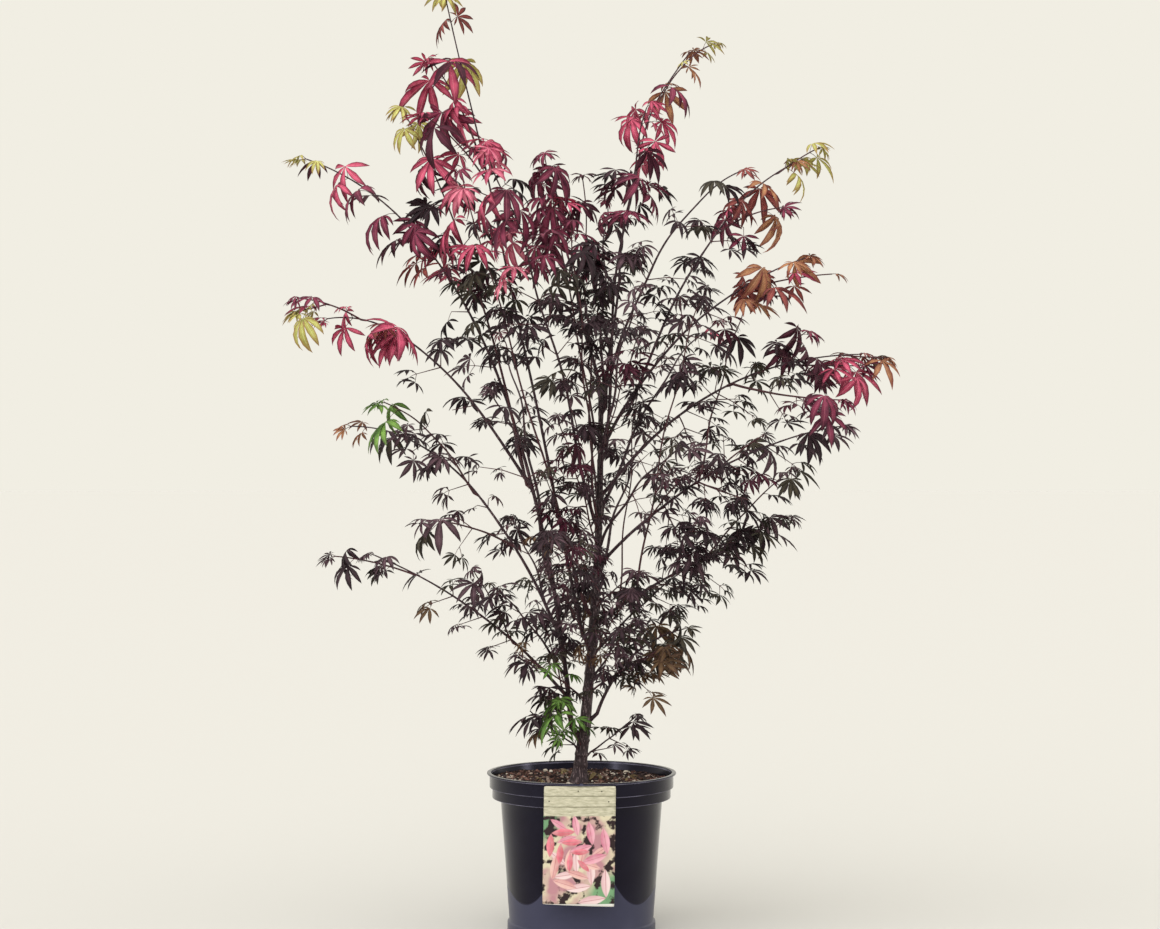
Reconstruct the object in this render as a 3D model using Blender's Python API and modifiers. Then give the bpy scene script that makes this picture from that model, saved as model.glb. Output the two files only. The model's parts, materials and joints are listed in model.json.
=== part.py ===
"""A potted Japanese maple: about 1.15 m of many-stemmed, purple-leaved plant in a round black container.

Metres, +Z up, +X to the right and -Y to the front, with the origin at the centre of the pot's flat underside.
Every whip of the plant is one tapering arc. Its bare lower part is a bough, and the rest is the stem of a
mass of foliage, which carries side twigs in crossed pairs with five-lobed leaves at their ends.
"""

import math
import random
from collections import namedtuple

import bmesh
import bpy
import numpy as np
from mathutils import Matrix, Vector
from mathutils.bvhtree import BVHTree

GAP = 0.0003  # clearance between solids that touch
MERGE = 0.00001
CORNER = math.radians(75.0)
UP = Vector((0.0, 0.0, 1.0))

# Container: a ten-litre nursery pot, 280 mm across its lip.
POT_HEIGHT = 0.235
POT_STEPS = 32
LIP_RADIUS = 0.140
LIP_THICKNESS = 0.0025
UPPER_BAND_RADIUS = 0.136
UPPER_BAND_FOOT = 0.2133
LOWER_BAND_RADIUS = 0.132
LOWER_BAND_FOOT = 0.1980
BODY_TOP_RADIUS = 0.1195
BODY_FOOT_RADIUS = 0.1065
FOOT_RADIUS = 0.1095
FOOT_HEIGHT = 0.0155
POT_WALL = 0.0022
POT_FLOOR = 0.0035
EDGE = 0.0008
DRAIN_HOLES = 8
DRAIN_RADIUS = 0.006
DRAIN_CIRCLE = 0.080

# Potting soil, a finger's width under the lip, banked up a little towards the wall.
SOIL_TOP = 0.2180
SOIL_CROWN_RADIUS = 0.030
SOIL_EDGE_TOP = 0.2222

# Picture label: a bent card that hangs from under the lip.
LABEL_WIDTH = 0.1025
LABEL_HEIGHT = 0.170
LABEL_THICKNESS = 0.0010
LABEL_CENTRE_X = -0.0022
LABEL_TOP = POT_HEIGHT - LIP_THICKNESS - 0.0012
LABEL_BEND_RADIUS = 0.450
LABEL_COLUMNS = 8

# Trunk: flared foot, lean to the right, and a slow double bend up to the place where it divides.
TRUNK_FOOT = Vector((-0.0050, 0.0, SOIL_TOP + GAP))
TRUNK_TOP = Vector((0.0280, 0.0, 0.8000))
TRUNK_ARC = (1.10, 0.50)
TRUNK_WAVE = 0.005
TRUNK_WAVES = 3
TRUNK_POINTS = 14
TRUNK_SIDES = 8
TRUNK_RADIUS = 0.0100
TRUNK_TOP_RADIUS = 0.0034
TRUNK_RINGS = (0.0, 0.006, 0.014)  # heights of the rings that round off the flare
FLARE = 0.75
FLARE_HEIGHT = 0.014
FLARE_ROOTS = 4
FLARE_LOBE = 0.22
FLARE_TURN = 0.6

# Whips: one arc each, with a slight zigzag.
POINT_SPACING = 0.062
WAVE_SHARE = 0.007
WAVES = 5
TIP_RADIUS = 0.0015
BOUGH_SIDES = 6
STEM_SIDES = 4
COLLAR = 1.5

# Foliage: side twigs in crossed pairs, each with a leaf drawn as a star.
NODE_SPACING = 0.052
FIRST_NODE = 0.55  # in node spacings above the stem's foot
FORK_ANGLE = math.radians(52.0)
TWIG_RADIUS = 0.0008
SHORTEST_TWIG = 0.018
TIP_TWIG_SHARE = 0.3  # of a whip's longest twig, near its tip
TWIG_SHARES = (0.45, 1.0)
TWIG_SWING = 0.5
STAGGER = 0.04  # between the two twigs of a pair, which keeps their roots apart
FIRST_SEED = 2
SEED_STEP = 1000
SEEDS = 6
SEEDS_SKIPPED = {"left_stem": 3}  # a mass whose first seeds put a leaf through a neighbour's bough
TRIES = 24
SHRINK = 0.94
SMALLEST_LEAF = 0.65
LEAF_SHARES = (0.9, 1.1)
HANG = (0.15, 0.75)
ROLL = 0.7
CLEAR = 0.0025  # kept between a leaf and the edge of its mass's space
LEAF_THICKNESS = 0.026  # of its length
LEAF_DROOP = 0.30
BLADE_CENTRE = 0.12
LOBES = ((0.0, 1.00), (21.0, 0.33), (42.0, 0.92), (64.0, 0.27), (90.0, 0.66))
BLADE_HEEL = 0.14  # from the blade's centre to its two corners beside the twig
HEEL_TURN = math.radians(20.0)
MOST_TWIST = math.radians(50.0)  # of the blade in its own plane, from straight on to its twig

Tint = namedtuple("Tint", "name colour roughness")
BARK = Tint("bark", (0.045, 0.028, 0.030), 0.70)
DARK = Tint("dark_purple_leaf", (0.035, 0.012, 0.024), 0.50)
WINE = Tint("wine_leaf", (0.120, 0.012, 0.030), 0.50)
CRIMSON = Tint("crimson_leaf", (0.380, 0.030, 0.070), 0.50)
BRONZE = Tint("bronze_leaf", (0.110, 0.040, 0.022), 0.50)
GREEN = Tint("green_leaf", (0.095, 0.160, 0.030), 0.50)
PLASTIC = Tint("black_plastic", (0.012, 0.012, 0.016), 0.30)
SOIL = Tint("potting_soil", (0.060, 0.030, 0.018), 0.95)
CARD = Tint("printed_card", (0.550, 0.420, 0.330), 0.40)

# A whip leaves its parent at a share of the parent's length and ends at its tip. Across and up say where
# its arc turns, as shares of its run and of its rise. Bare is the share of it below the foliage, spread is
# the longest side twig and leaf is the length of a leaf.
Whip = namedtuple("Whip", "name parent leaves_at tip across up root bare spread leaf tint")
WHIPS = (
    Whip("left_stem", "trunk", 0.11, (-0.410, 0.02, 1.145), 0.18, 0.87, 0.0042, 0.45, 0.085, 0.080, CRIMSON),
    Whip("right_stem", "trunk", 0.15, (0.150, -0.05, 0.450), 0.29, 0.82, 0.0032, 0.36, 0.070, 0.075, BRONZE),
    Whip("low_left", "left_stem", 0.07, (-0.305, -0.07, 0.560), 0.42, 0.67, 0.0026, 0.30, 0.055, 0.065, DARK),
    Whip("left", "left_stem", 0.17, (-0.350, 0.09, 0.748), 0.42, 1.00, 0.0028, 0.34, 0.060, 0.072, DARK),
    Whip("left_mid", "left_stem", 0.39, (-0.365, -0.1, 0.900), 0.55, 1.11, 0.0026, 0.30, 0.055, 0.082, WINE),
    Whip("back_low", "left_stem", 0.12, (-0.115, 0.28, 0.605), 0.50, 0.75, 0.0026, 0.36, 0.080, 0.075, DARK),
    Whip("back_left", "left_stem", 0.31, (-0.130, 0.32, 0.900), 0.50, 0.75, 0.0026, 0.36, 0.085, 0.080, DARK),
    Whip("front_left", "left_stem", 0.23, (-0.120, -0.31, 0.790), 0.50, 0.80, 0.0026, 0.36, 0.085, 0.080, DARK),
    Whip("top_left", "trunk", 0.35, (-0.199, -0.03, 1.372), 0.55, 0.60, 0.0030, 0.50, 0.085, 0.082, CRIMSON),
    Whip("low_right", "trunk", 0.40, (0.310, 0.06, 0.610), 0.50, 0.60, 0.0028, 0.34, 0.080, 0.078, DARK),
    Whip("front_low", "trunk", 0.45, (-0.045, -0.29, 0.600), 0.50, 0.70, 0.0026, 0.34, 0.080, 0.075, DARK),
    Whip("back", "trunk", 0.50, (0.110, 0.33, 0.740), 0.50, 0.75, 0.0028, 0.40, 0.085, 0.080, DARK),
    Whip("right_low", "trunk", 0.55, (0.372, -0.12, 0.745), 0.46, 0.85, 0.0028, 0.40, 0.080, 0.080, DARK),
    Whip("front_right", "trunk", 0.59, (0.150, -0.30, 0.720), 0.45, 0.80, 0.0026, 0.36, 0.080, 0.080, DARK),
    Whip("front_top", "trunk", 0.65, (-0.130, -0.21, 1.120), 0.55, 0.75, 0.0028, 0.36, 0.090, 0.085, CRIMSON),
    Whip("back_right", "trunk", 0.69, (0.220, 0.30, 0.920), 0.50, 0.80, 0.0028, 0.36, 0.085, 0.080, DARK),
    Whip("right_mid", "trunk", 0.73, (0.415, 0.04, 0.855), 0.39, 0.97, 0.0028, 0.38, 0.075, 0.085, WINE),
    Whip("front", "trunk", 0.78, (0.080, -0.31, 0.930), 0.50, 0.80, 0.0026, 0.36, 0.085, 0.082, DARK),
    Whip("shoot", "trunk", 0.82, (0.165, 0.11, 1.318), 0.10, 0.80, 0.0028, 0.36, 0.065, 0.078, WINE),
    Whip("right", "trunk", 0.86, (0.325, -0.07, 0.990), 0.36, 0.76, 0.0028, 0.36, 0.075, 0.082, WINE),
    Whip("back_top", "trunk", 0.90, (0.040, 0.26, 1.110), 0.50, 0.70, 0.0028, 0.30, 0.090, 0.082, DARK),
    Whip("top_right", "trunk", 0.94, (0.095, -0.06, 1.210), 0.40, 0.66, 0.0028, 0.28, 0.080, 0.082, CRIMSON),
    Whip("right_high", "right", 0.16, (0.330, 0.08, 1.150), 0.44, 0.83, 0.0025, 0.34, 0.075, 0.080, WINE),
    Whip("right_top", "top_right", 0.12, (0.225, -0.16, 1.105), 0.37, 0.83, 0.0025, 0.34, 0.080, 0.080, WINE),
    Whip("top", "trunk", 1.0, (-0.045, 0.05, 1.130), 0.60, 0.50, 0.0032, 0.0, 0.090, 0.085, WINE),
    Whip("low_front", "trunk", 0.24, (0.075, -0.17, 0.470), 0.50, 0.60, 0.0022, 0.0, 0.070, 0.078, DARK),
    Whip("low_back", "trunk", 0.28, (-0.010, 0.19, 0.500), 0.50, 0.60, 0.0022, 0.0, 0.070, 0.078, DARK),
    Whip("inner_right", "trunk", 0.32, (0.170, 0.110, 0.540), 0.50, 0.60, 0.0022, 0.0, 0.070, 0.078, DARK),
    Whip("inner_left", "left_stem", 0.10, (-0.130, -0.13, 0.520), 0.50, 0.65, 0.0022, 0.0, 0.060, 0.072, DARK),
    Whip("low_twig_left", "trunk", 0.075, (-0.075, -0.05, 0.330), 0.60, 0.50, 0.0016, 0.0, 0.040, 0.050, GREEN),
    Whip("low_twig_right", "trunk", 0.050, (0.080, 0.06, 0.310), 0.60, 0.50, 0.0016, 0.0, 0.040, 0.050, DARK),
)


def clear_scene():
    for piece in list(bpy.data.objects):
        bpy.data.objects.remove(piece)


def new_collection(name):
    collection = bpy.data.collections.new(name)
    bpy.context.scene.collection.children.link(collection)
    return collection


def material(tint):
    found = bpy.data.materials.get(tint.name)
    if found:
        return found
    made = bpy.data.materials.new(tint.name)
    made.use_nodes = True
    shader = made.node_tree.nodes["Principled BSDF"]
    shader.inputs["Base Color"].default_value = (*tint.colour, 1.0)
    shader.inputs["Roughness"].default_value = tint.roughness
    shader.inputs["Metallic"].default_value = 0.0
    return made


def add_object(name, mesh, collection, tint=None):
    piece = bpy.data.objects.new(name, mesh)
    collection.objects.link(piece)
    if tint:
        mesh.materials.clear()
        mesh.materials.append(material(tint))
    return piece


def evaluated_mesh(piece):
    graph = bpy.context.evaluated_depsgraph_get()
    return bpy.data.meshes.new_from_object(piece.evaluated_get(graph))


def keep_result(piece):
    """Applies the piece's modifiers."""
    mesh = evaluated_mesh(piece)
    piece.modifiers.clear()
    piece.data = mesh
    round_off(mesh)


def remove_object(piece):
    data = piece.data
    bpy.data.objects.remove(piece)
    if isinstance(data, bpy.types.Curve):
        bpy.data.curves.remove(data)


def hide_guide(piece):
    piece.hide_render = True
    piece.display_type = "WIRE"


def turned(name, profile, tint):
    """A round body from its profile of (radius, height) points, which runs down its outer side."""
    shape = bmesh.new()
    points = [shape.verts.new((radius, 0.0, height)) for radius, height in profile]
    for first, second in zip(points, points[1:]):
        shape.edges.new((first, second))
    mesh = bpy.data.meshes.new(name)
    shape.to_mesh(mesh)
    shape.free()
    piece = add_object(name, mesh, parts, tint)
    screw = piece.modifiers.new("turn", "SCREW")
    screw.steps = POT_STEPS
    screw.render_steps = POT_STEPS
    screw.use_merge_vertices = True
    screw.merge_threshold = MERGE
    keep_result(piece)
    return piece


def round_off(mesh):
    """Shades a mesh smooth, except across its corners."""
    mesh.shade_smooth()
    mesh.set_sharp_from_angle(angle=CORNER)


def make_pot():
    inner_foot = BODY_FOOT_RADIUS - POT_WALL
    inner_top = BODY_TOP_RADIUS - POT_WALL
    inner_lower = LOWER_BAND_RADIUS - POT_WALL
    inner_upper = UPPER_BAND_RADIUS - POT_WALL
    profile = (
        (0.0, POT_FLOOR),
        (inner_foot, POT_FLOOR),
        (inner_top, LOWER_BAND_FOOT + POT_WALL),
        (inner_lower, LOWER_BAND_FOOT + POT_WALL),
        (inner_lower, UPPER_BAND_FOOT + POT_WALL),
        (inner_upper, UPPER_BAND_FOOT + POT_WALL),
        (inner_upper, POT_HEIGHT),
        (LIP_RADIUS - EDGE, POT_HEIGHT),
        (LIP_RADIUS, POT_HEIGHT - EDGE),
        (LIP_RADIUS, POT_HEIGHT - LIP_THICKNESS),
        (UPPER_BAND_RADIUS, POT_HEIGHT - LIP_THICKNESS),
        (UPPER_BAND_RADIUS, UPPER_BAND_FOOT),
        (LOWER_BAND_RADIUS, UPPER_BAND_FOOT),
        (LOWER_BAND_RADIUS, LOWER_BAND_FOOT),
        (BODY_TOP_RADIUS, LOWER_BAND_FOOT),
        (BODY_FOOT_RADIUS, FOOT_HEIGHT + EDGE),
        (FOOT_RADIUS, FOOT_HEIGHT),
        (FOOT_RADIUS, 0.0),
        (0.0, 0.0),
    )
    pot = turned("pot", profile, PLASTIC)
    for index in range(DRAIN_HOLES):
        turn = 2.0 * math.pi * (index + 0.5) / DRAIN_HOLES
        shape = bmesh.new()
        bmesh.ops.create_cone(
            shape,
            cap_ends=True,
            segments=8,
            radius1=DRAIN_RADIUS,
            radius2=DRAIN_RADIUS,
            depth=4.0 * POT_FLOOR,
            matrix=Matrix.Translation((DRAIN_CIRCLE * math.cos(turn), DRAIN_CIRCLE * math.sin(turn), 0.0)),
        )
        mesh = bpy.data.meshes.new("drain")
        shape.to_mesh(mesh)
        shape.free()
        cutter = add_object(f"drain_{index}", mesh, cutters)
        hide_guide(cutter)
        cut = pot.modifiers.new(cutter.name, "BOOLEAN")
        cut.operation = "DIFFERENCE"
        cut.object = cutter


def make_soil():
    foot = BODY_FOOT_RADIUS - POT_WALL - GAP
    top = BODY_TOP_RADIUS - POT_WALL - GAP
    lower = LOWER_BAND_RADIUS - POT_WALL - GAP
    upper = UPPER_BAND_RADIUS - POT_WALL - GAP
    profile = (
        (0.0, SOIL_TOP),
        (SOIL_CROWN_RADIUS, SOIL_TOP),
        (upper, SOIL_EDGE_TOP),
        (upper, UPPER_BAND_FOOT + POT_WALL + GAP),
        (lower, UPPER_BAND_FOOT + POT_WALL + GAP),
        (lower, LOWER_BAND_FOOT + POT_WALL + GAP),
        (top, LOWER_BAND_FOOT + POT_WALL + GAP),
        (foot, POT_FLOOR + GAP),
        (0.0, POT_FLOOR + GAP),
    )
    turned("soil", profile, SOIL)


def make_label():
    """A card bent round an upright axis, its middle against the upper band."""
    shape = bmesh.new()
    stand = Matrix.Rotation(math.pi / 2.0, 4, "X")
    bmesh.ops.create_grid(shape, x_segments=LABEL_COLUMNS, y_segments=1, size=0.5, matrix=stand)
    for corner in shape.verts:
        across = corner.co.x * LABEL_WIDTH
        turn = across / LABEL_BEND_RADIUS
        back = LABEL_BEND_RADIUS * (1.0 - math.cos(turn))
        corner.co.x = LABEL_CENTRE_X + LABEL_BEND_RADIUS * math.sin(turn)
        corner.co.y = back - UPPER_BAND_RADIUS - GAP
        corner.co.z = LABEL_TOP + (corner.co.z - 0.5) * LABEL_HEIGHT
    mesh = bpy.data.meshes.new("label")
    shape.to_mesh(mesh)
    shape.free()
    label = add_object("label", mesh, parts, CARD)
    card = label.modifiers.new("card", "SOLIDIFY")
    card.thickness = LABEL_THICKNESS
    card.offset = 1.0


def arc(start, tip, across, up, wave, waves, count):
    """Points of a limb's arc from start to tip, swaying a little to its sides."""
    run = Vector((tip.x - start.x, tip.y - start.y, 0.0))
    rise = UP * (tip.z - start.z)
    turn = start + run * across + rise * up
    side = run.cross(UP).normalized()
    points = []
    for index in range(count + 1):
        t = index / count
        point = start * (1.0 - t) ** 2 + turn * (2.0 * t * (1.0 - t)) + tip * t**2
        points.append(point + side * wave * math.sin(waves * math.pi * t))
    return points


def lengths_along(points):
    """The length from the first point to each point."""
    found = [0.0]
    for first, second in zip(points, points[1:]):
        found.append(found[-1] + (second - first).length)
    return found


def place_along(points, share):
    """The place and the direction of a path at a share of its length."""
    lengths = lengths_along(points)
    wanted = share * lengths[-1]
    for index in range(len(points) - 1):
        if lengths[index + 1] >= wanted or index == len(points) - 2:
            step = points[index + 1] - points[index]
            part = (wanted - lengths[index]) / step.length
            return points[index] + step * part, step.normalized()


def tapered(points, root, tip):
    lengths = lengths_along(points)
    return [root + (tip - root) * length / lengths[-1] for length in lengths]


def section_guide(sides):
    """A closed outline with unit radius, which tubes with this many sides follow."""
    name = f"section_{sides}"
    if name in bpy.data.objects:
        return bpy.data.objects[name]
    outline = bpy.data.curves.new(name, "CURVE")
    ring = outline.splines.new("POLY")
    ring.points.add(sides - 1)
    ring.use_cyclic_u = True
    for index, knot in enumerate(ring.points):
        turn = 2.0 * math.pi * index / sides
        knot.co = (math.cos(turn), math.sin(turn), 0.0, 1.0)
    guide = add_object(name, outline, cutters)
    hide_guide(guide)
    return guide


def tube_mesh(points, radii, sides):
    """A closed tapering tube as a mesh."""
    curve = bpy.data.curves.new("tube", "CURVE")
    curve.dimensions = "3D"
    curve.bevel_mode = "OBJECT"
    curve.bevel_object = section_guide(sides)
    curve.use_fill_caps = True
    line = curve.splines.new("POLY")
    line.points.add(len(points) - 1)
    for knot, point, radius in zip(line.points, points, radii):
        knot.co = (*point, 1.0)
        knot.radius = radius
    piece = add_object("tube", curve, workshop)
    mesh = evaluated_mesh(piece)
    remove_object(piece)
    shape = bmesh.new()
    shape.from_mesh(mesh)
    bmesh.ops.remove_doubles(shape, verts=shape.verts, dist=MERGE)
    bmesh.ops.recalc_face_normals(shape, faces=shape.faces)
    shape.to_mesh(mesh)
    shape.free()
    round_off(mesh)
    return mesh


Limb = namedtuple("Limb", "points radii sides")


def trunk_limb():
    points = arc(TRUNK_FOOT, TRUNK_TOP, *TRUNK_ARC, TRUNK_WAVE, TRUNK_WAVES, TRUNK_POINTS)
    points = [TRUNK_FOOT + UP * height for height in TRUNK_RINGS] + points[1:]
    return Limb(points, tapered(points, TRUNK_RADIUS, TRUNK_TOP_RADIUS), TRUNK_SIDES)


def flare_roots(mesh):
    """Widens the trunk's foot into blunt root ridges."""
    for corner in mesh.vertices:
        height = corner.co.z - TRUNK_FOOT.z
        out = Vector((corner.co.x - TRUNK_FOOT.x, corner.co.y - TRUNK_FOOT.y, 0.0))
        ridge = 1.0 + FLARE_LOBE * math.cos(FLARE_ROOTS * math.atan2(out.y, out.x) + FLARE_TURN)
        corner.co += out * (FLARE * ridge * math.exp(-height / FLARE_HEIGHT))


def whip_limb(whip, limbs):
    """The whip's whole arc, from inside its parent or from the parent's end."""
    parent = limbs[whip.parent]
    anchor, direction = place_along(parent.points, whip.leaves_at)
    lengths = lengths_along(parent.points)
    parent_radius = float(np.interp(whip.leaves_at * lengths[-1], lengths, parent.radii))
    tip = Vector(whip.tip)
    if whip.leaves_at == 1.0:
        start = anchor + direction * GAP
        turned_in = [start, start + direction * POINT_SPACING / 4.0]
    else:
        outward = Vector((tip.x - anchor.x, tip.y - anchor.y, 0.0)).normalized()
        collar = COLLAR * (parent_radius + whip.root)
        start = anchor + (outward + direction) * collar
        turned_in = [anchor, start]
    reach = (tip - start).length
    count = max(3, round(reach / POINT_SPACING))
    bend = arc(turned_in[-1], tip, whip.across, whip.up, WAVE_SHARE * reach, WAVES, count)
    points = turned_in + bend[1:]
    return Limb(points, tapered(points, whip.root, TIP_RADIUS), BOUGH_SIDES)


def split_limb(limb, share):
    """The limb below and above the middle of the straight piece at a share of its length."""
    lengths = lengths_along(limb.points)
    index = next(i for i, length in enumerate(lengths) if length >= share * lengths[-1])
    low, high = limb.points[index - 1], limb.points[index]
    middle = (low + high) / 2.0
    half_gap = (high - low).normalized() * GAP / 2.0
    radius = (limb.radii[index - 1] + limb.radii[index]) / 2.0
    bough = Limb(limb.points[:index] + [middle - half_gap], limb.radii[:index] + [radius], BOUGH_SIDES)
    stem = Limb([middle + half_gap] + limb.points[index:], [radius] + limb.radii[index:], STEM_SIDES)
    return bough, stem


def clearance_guide(name, limb):
    """A guide that is a hair thicker than the limb, to cut its clearance from what grows out of it."""
    spare = GAP / math.cos(math.pi / limb.sides)
    mesh = tube_mesh(limb.points, [radius + spare for radius in limb.radii], limb.sides)
    guide = add_object(f"{name}_clearance", mesh, cutters)
    hide_guide(guide)
    return guide


def cut_clear(piece, guide):
    """Cuts the guide's shape from the piece, which loses the scrap beyond it."""
    cut = piece.modifiers.new("clearance", "BOOLEAN")
    cut.operation = "DIFFERENCE"
    cut.object = guide
    keep_result(piece)
    drop_scrap(piece.data)


def drop_scrap(mesh):
    """Keeps only the largest body of a mesh."""
    shape = bmesh.new()
    shape.from_mesh(mesh)
    left = set(shape.faces)
    bodies = []
    while left:
        body = []
        reached = [left.pop()]
        while reached:
            face = reached.pop()
            body.append(face)
            for other in (other for edge in face.edges for other in edge.link_faces):
                if other in left:
                    left.remove(other)
                    reached.append(other)
        bodies.append(body)
    bodies.sort(key=len)
    loose = [face for body in bodies[:-1] for face in body]
    bmesh.ops.delete(shape, geom=loose, context="FACES")
    shape.to_mesh(mesh)
    shape.free()


class Space:
    """What every limb and every mass keeps to itself."""

    def __init__(self):
        self.limb_starts, self.limb_ends, self.limb_radii = [], [], []
        self.stem_starts, self.stem_ends, self.stem_owners = [], [], []

    def add_limb(self, limb):
        self.limb_starts += limb.points[:-1]
        self.limb_ends += limb.points[1:]
        self.limb_radii += limb.radii[:-1]

    def add_stem(self, owner, limb):
        self.stem_starts += limb.points[:-1]
        self.stem_ends += limb.points[1:]
        self.stem_owners += [owner] * (len(limb.points) - 1)

    def settle(self):
        self.limbs = np.array(self.limb_starts), np.array(self.limb_ends)
        self.stems = np.array(self.stem_starts), np.array(self.stem_ends)
        self.limb_radii = np.array(self.limb_radii)
        self.stem_owners = np.array(self.stem_owners)

    @staticmethod
    def distances(points, starts, ends):
        steps = ends - starts
        from_start = points[:, None, :] - starts[None, :, :]
        shares = np.sum(from_start * steps, axis=2) / np.sum(steps * steps, axis=1)
        nearest = starts + np.clip(shares, 0.0, 1.0)[:, :, None] * steps
        return np.linalg.norm(points[:, None, :] - nearest, axis=2)

    def is_free(self, places, owner):
        """True where the places are clear of all limbs and nearer to the owner's stem than to another."""
        points = np.array(places)
        if points[:, 2].min() < POT_HEIGHT:
            return False
        to_limbs = self.distances(points, *self.limbs) - self.limb_radii
        if to_limbs.min() < CLEAR:
            return False
        to_stems = self.distances(points, *self.stems)
        mine = self.stem_owners == owner
        own = to_stems[:, mine].min(axis=1)
        others = to_stems[:, ~mine].min(axis=1)
        return bool(np.all(own + 2.0 * CLEAR < others))


def twig_twist(root, frame):
    """How far round its centre the blade is turned from its twig."""
    place = frame.inverted() @ root
    return math.atan2(-place.y, BLADE_CENTRE - place.x)


def blade_rim(twist):
    """The blade's rim from its middle lobe to one side of its twig, then from the other side back."""
    one_side = []
    for angle, reach in LOBES:
        turn = math.radians(angle)
        one_side.append(Vector((reach * math.cos(turn), reach * math.sin(turn), -LEAF_DROOP * reach**2)))
    other_side = [Vector((place.x, -place.y, place.z)) for place in one_side[:0:-1]]
    for side, turn in ((one_side, twist - HEEL_TURN), (other_side, twist + HEEL_TURN)):
        heel = Vector((BLADE_CENTRE - BLADE_HEEL * math.cos(turn), -BLADE_HEEL * math.sin(turn), 0.0))
        side.insert(len(side) if side is one_side else 0, heel)
    return one_side, other_side


def leaf_frame(junction, direction, roll, length):
    """Places a leaf with its middle lobe along a direction and its face upwards, but for a roll."""
    ahead = direction.normalized()
    side = UP.cross(ahead).normalized()
    turn = Matrix((ahead, side, ahead.cross(side))).transposed().to_4x4()
    return Matrix.Translation(junction) @ turn @ Matrix.Rotation(roll, 4, "X") @ Matrix.Scale(length, 4)


def sprig_places(root, frame):
    """Points over a twig and its leaf: along the twig, round the blade and halfway out to its rim."""
    junction = frame.translation
    places = [root.lerp(junction, share) for share in (0.0, 0.35, 0.7, 1.0)]
    for side in blade_rim(twig_twist(root, frame)):
        for place in side:
            places.append(frame @ place)
            places.append(frame @ (place * 0.5))
    return places


def sprig_mesh(root, frame):
    """A three-sided twig from its root to the blade of its leaf, in one piece.

    A flat cone has its rim drawn out into the lobes and into the two lower edges of the twig. The face
    between those edges is poked, and its middle drawn back to the root as the twig's upper edge.
    """
    along = (frame @ Vector((BLADE_CENTRE, 0.0, 0.0)) - root).normalized()
    across = (frame.to_3x3() @ UP).cross(along).normalized()
    face = along.cross(across)
    one_side, other_side = blade_rim(twig_twist(root, frame))
    under = root - face * TWIG_RADIUS / 2.0
    roots = [under + across * TWIG_RADIUS, under - across * TWIG_RADIUS]
    rim = [frame @ place for place in one_side] + roots + [frame @ place for place in other_side]
    shape = bmesh.new()
    bmesh.ops.create_cone(
        shape, cap_ends=True, cap_tris=True, segments=len(rim), radius1=1.0, radius2=0.0, depth=1.0
    )
    middles = [corner for corner in shape.verts if math.hypot(corner.co.x, corner.co.y) < 0.5]
    edge_corners = [corner for corner in shape.verts if corner not in middles]
    edge_corners.sort(key=lambda corner: math.atan2(corner.co.y, corner.co.x))
    top = max(middles, key=lambda corner: corner.co.z)
    root_corners = edge_corners[len(one_side) : len(one_side) + 2]
    upper = next(found for found in top.link_faces if set(root_corners) <= set(found.verts))
    for corner in middles:
        half = math.copysign(LEAF_THICKNESS / 2.0, corner.co.z)
        corner.co = frame @ Vector((BLADE_CENTRE, 0.0, half))
    for corner, place in zip(edge_corners, rim):
        corner.co = place
    ridge = bmesh.ops.poke(shape, faces=[upper])["verts"][0]
    ridge.co = root + face * TWIG_RADIUS
    bmesh.ops.recalc_face_normals(shape, faces=shape.faces)
    return shape


def try_sprig(whip, root, outward, twig, leaf, chance, space, grown):
    """Adds a twig and the hanging leaf at its end to the mass, if both find room."""
    junction = root + outward * twig
    hang = chance.uniform(*HANG)
    direction = outward - UP * (outward.z + hang)
    frame = leaf_frame(junction, direction, chance.uniform(-ROLL, ROLL), leaf * chance.uniform(*LEAF_SHARES))
    if abs(twig_twist(root, frame)) > MOST_TWIST:
        return False
    if not space.is_free(sprig_places(root, frame), whip.name):
        return False
    shape = sprig_mesh(root, frame)
    hull = BVHTree.FromBMesh(shape)
    clear = not any(hull.overlap(other) for _, other in grown)
    if clear:
        mesh = bpy.data.meshes.new("sprig")
        shape.to_mesh(mesh)
        grown.append((mesh, hull))
    shape.free()
    return clear


def grow_foliage(whip, stem, space, seed):
    """The meshes of all twigs and leaves of one mass, none of which touches another."""
    chance = random.Random(seed)
    grown = []
    nodes = max(2, round(lengths_along(stem.points)[-1] / NODE_SPACING))
    quarter = chance.uniform(0.0, math.pi)
    for node in range(nodes):
        reach = whip.spread * (1.0 - (1.0 - TIP_TWIG_SHARE) * node / nodes)
        for side in (0.0, math.pi):
            root, ahead = place_along(stem.points, (node + FIRST_NODE + side * STAGGER) / nodes)
            for attempt in range(TRIES):
                turn = quarter + node * math.pi / 2.0 + side + chance.uniform(-TWIG_SWING, TWIG_SWING)
                cross = ahead.orthogonal().normalized()
                cross.rotate(Matrix.Rotation(turn, 3, ahead))
                outward = ahead * math.cos(FORK_ANGLE) + cross * math.sin(FORK_ANGLE)
                shrink = SHRINK**attempt
                twig = max(SHORTEST_TWIG, reach * chance.uniform(*TWIG_SHARES) * shrink)
                leaf = whip.leaf * max(SMALLEST_LEAF, shrink)
                if try_sprig(whip, root, outward, twig, leaf, chance, space, grown):
                    break
    root, ahead = place_along(stem.points, 1.0)
    root -= ahead * SHORTEST_TWIG / 4.0
    try_sprig(whip, root, ahead, SHORTEST_TWIG, whip.leaf, chance, space, grown)
    return [mesh for mesh, _ in grown]


def is_closed(mesh):
    shape = bmesh.new()
    shape.from_mesh(mesh)
    closed = all(edge.is_manifold for edge in shape.edges)
    shape.free()
    return closed


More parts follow.
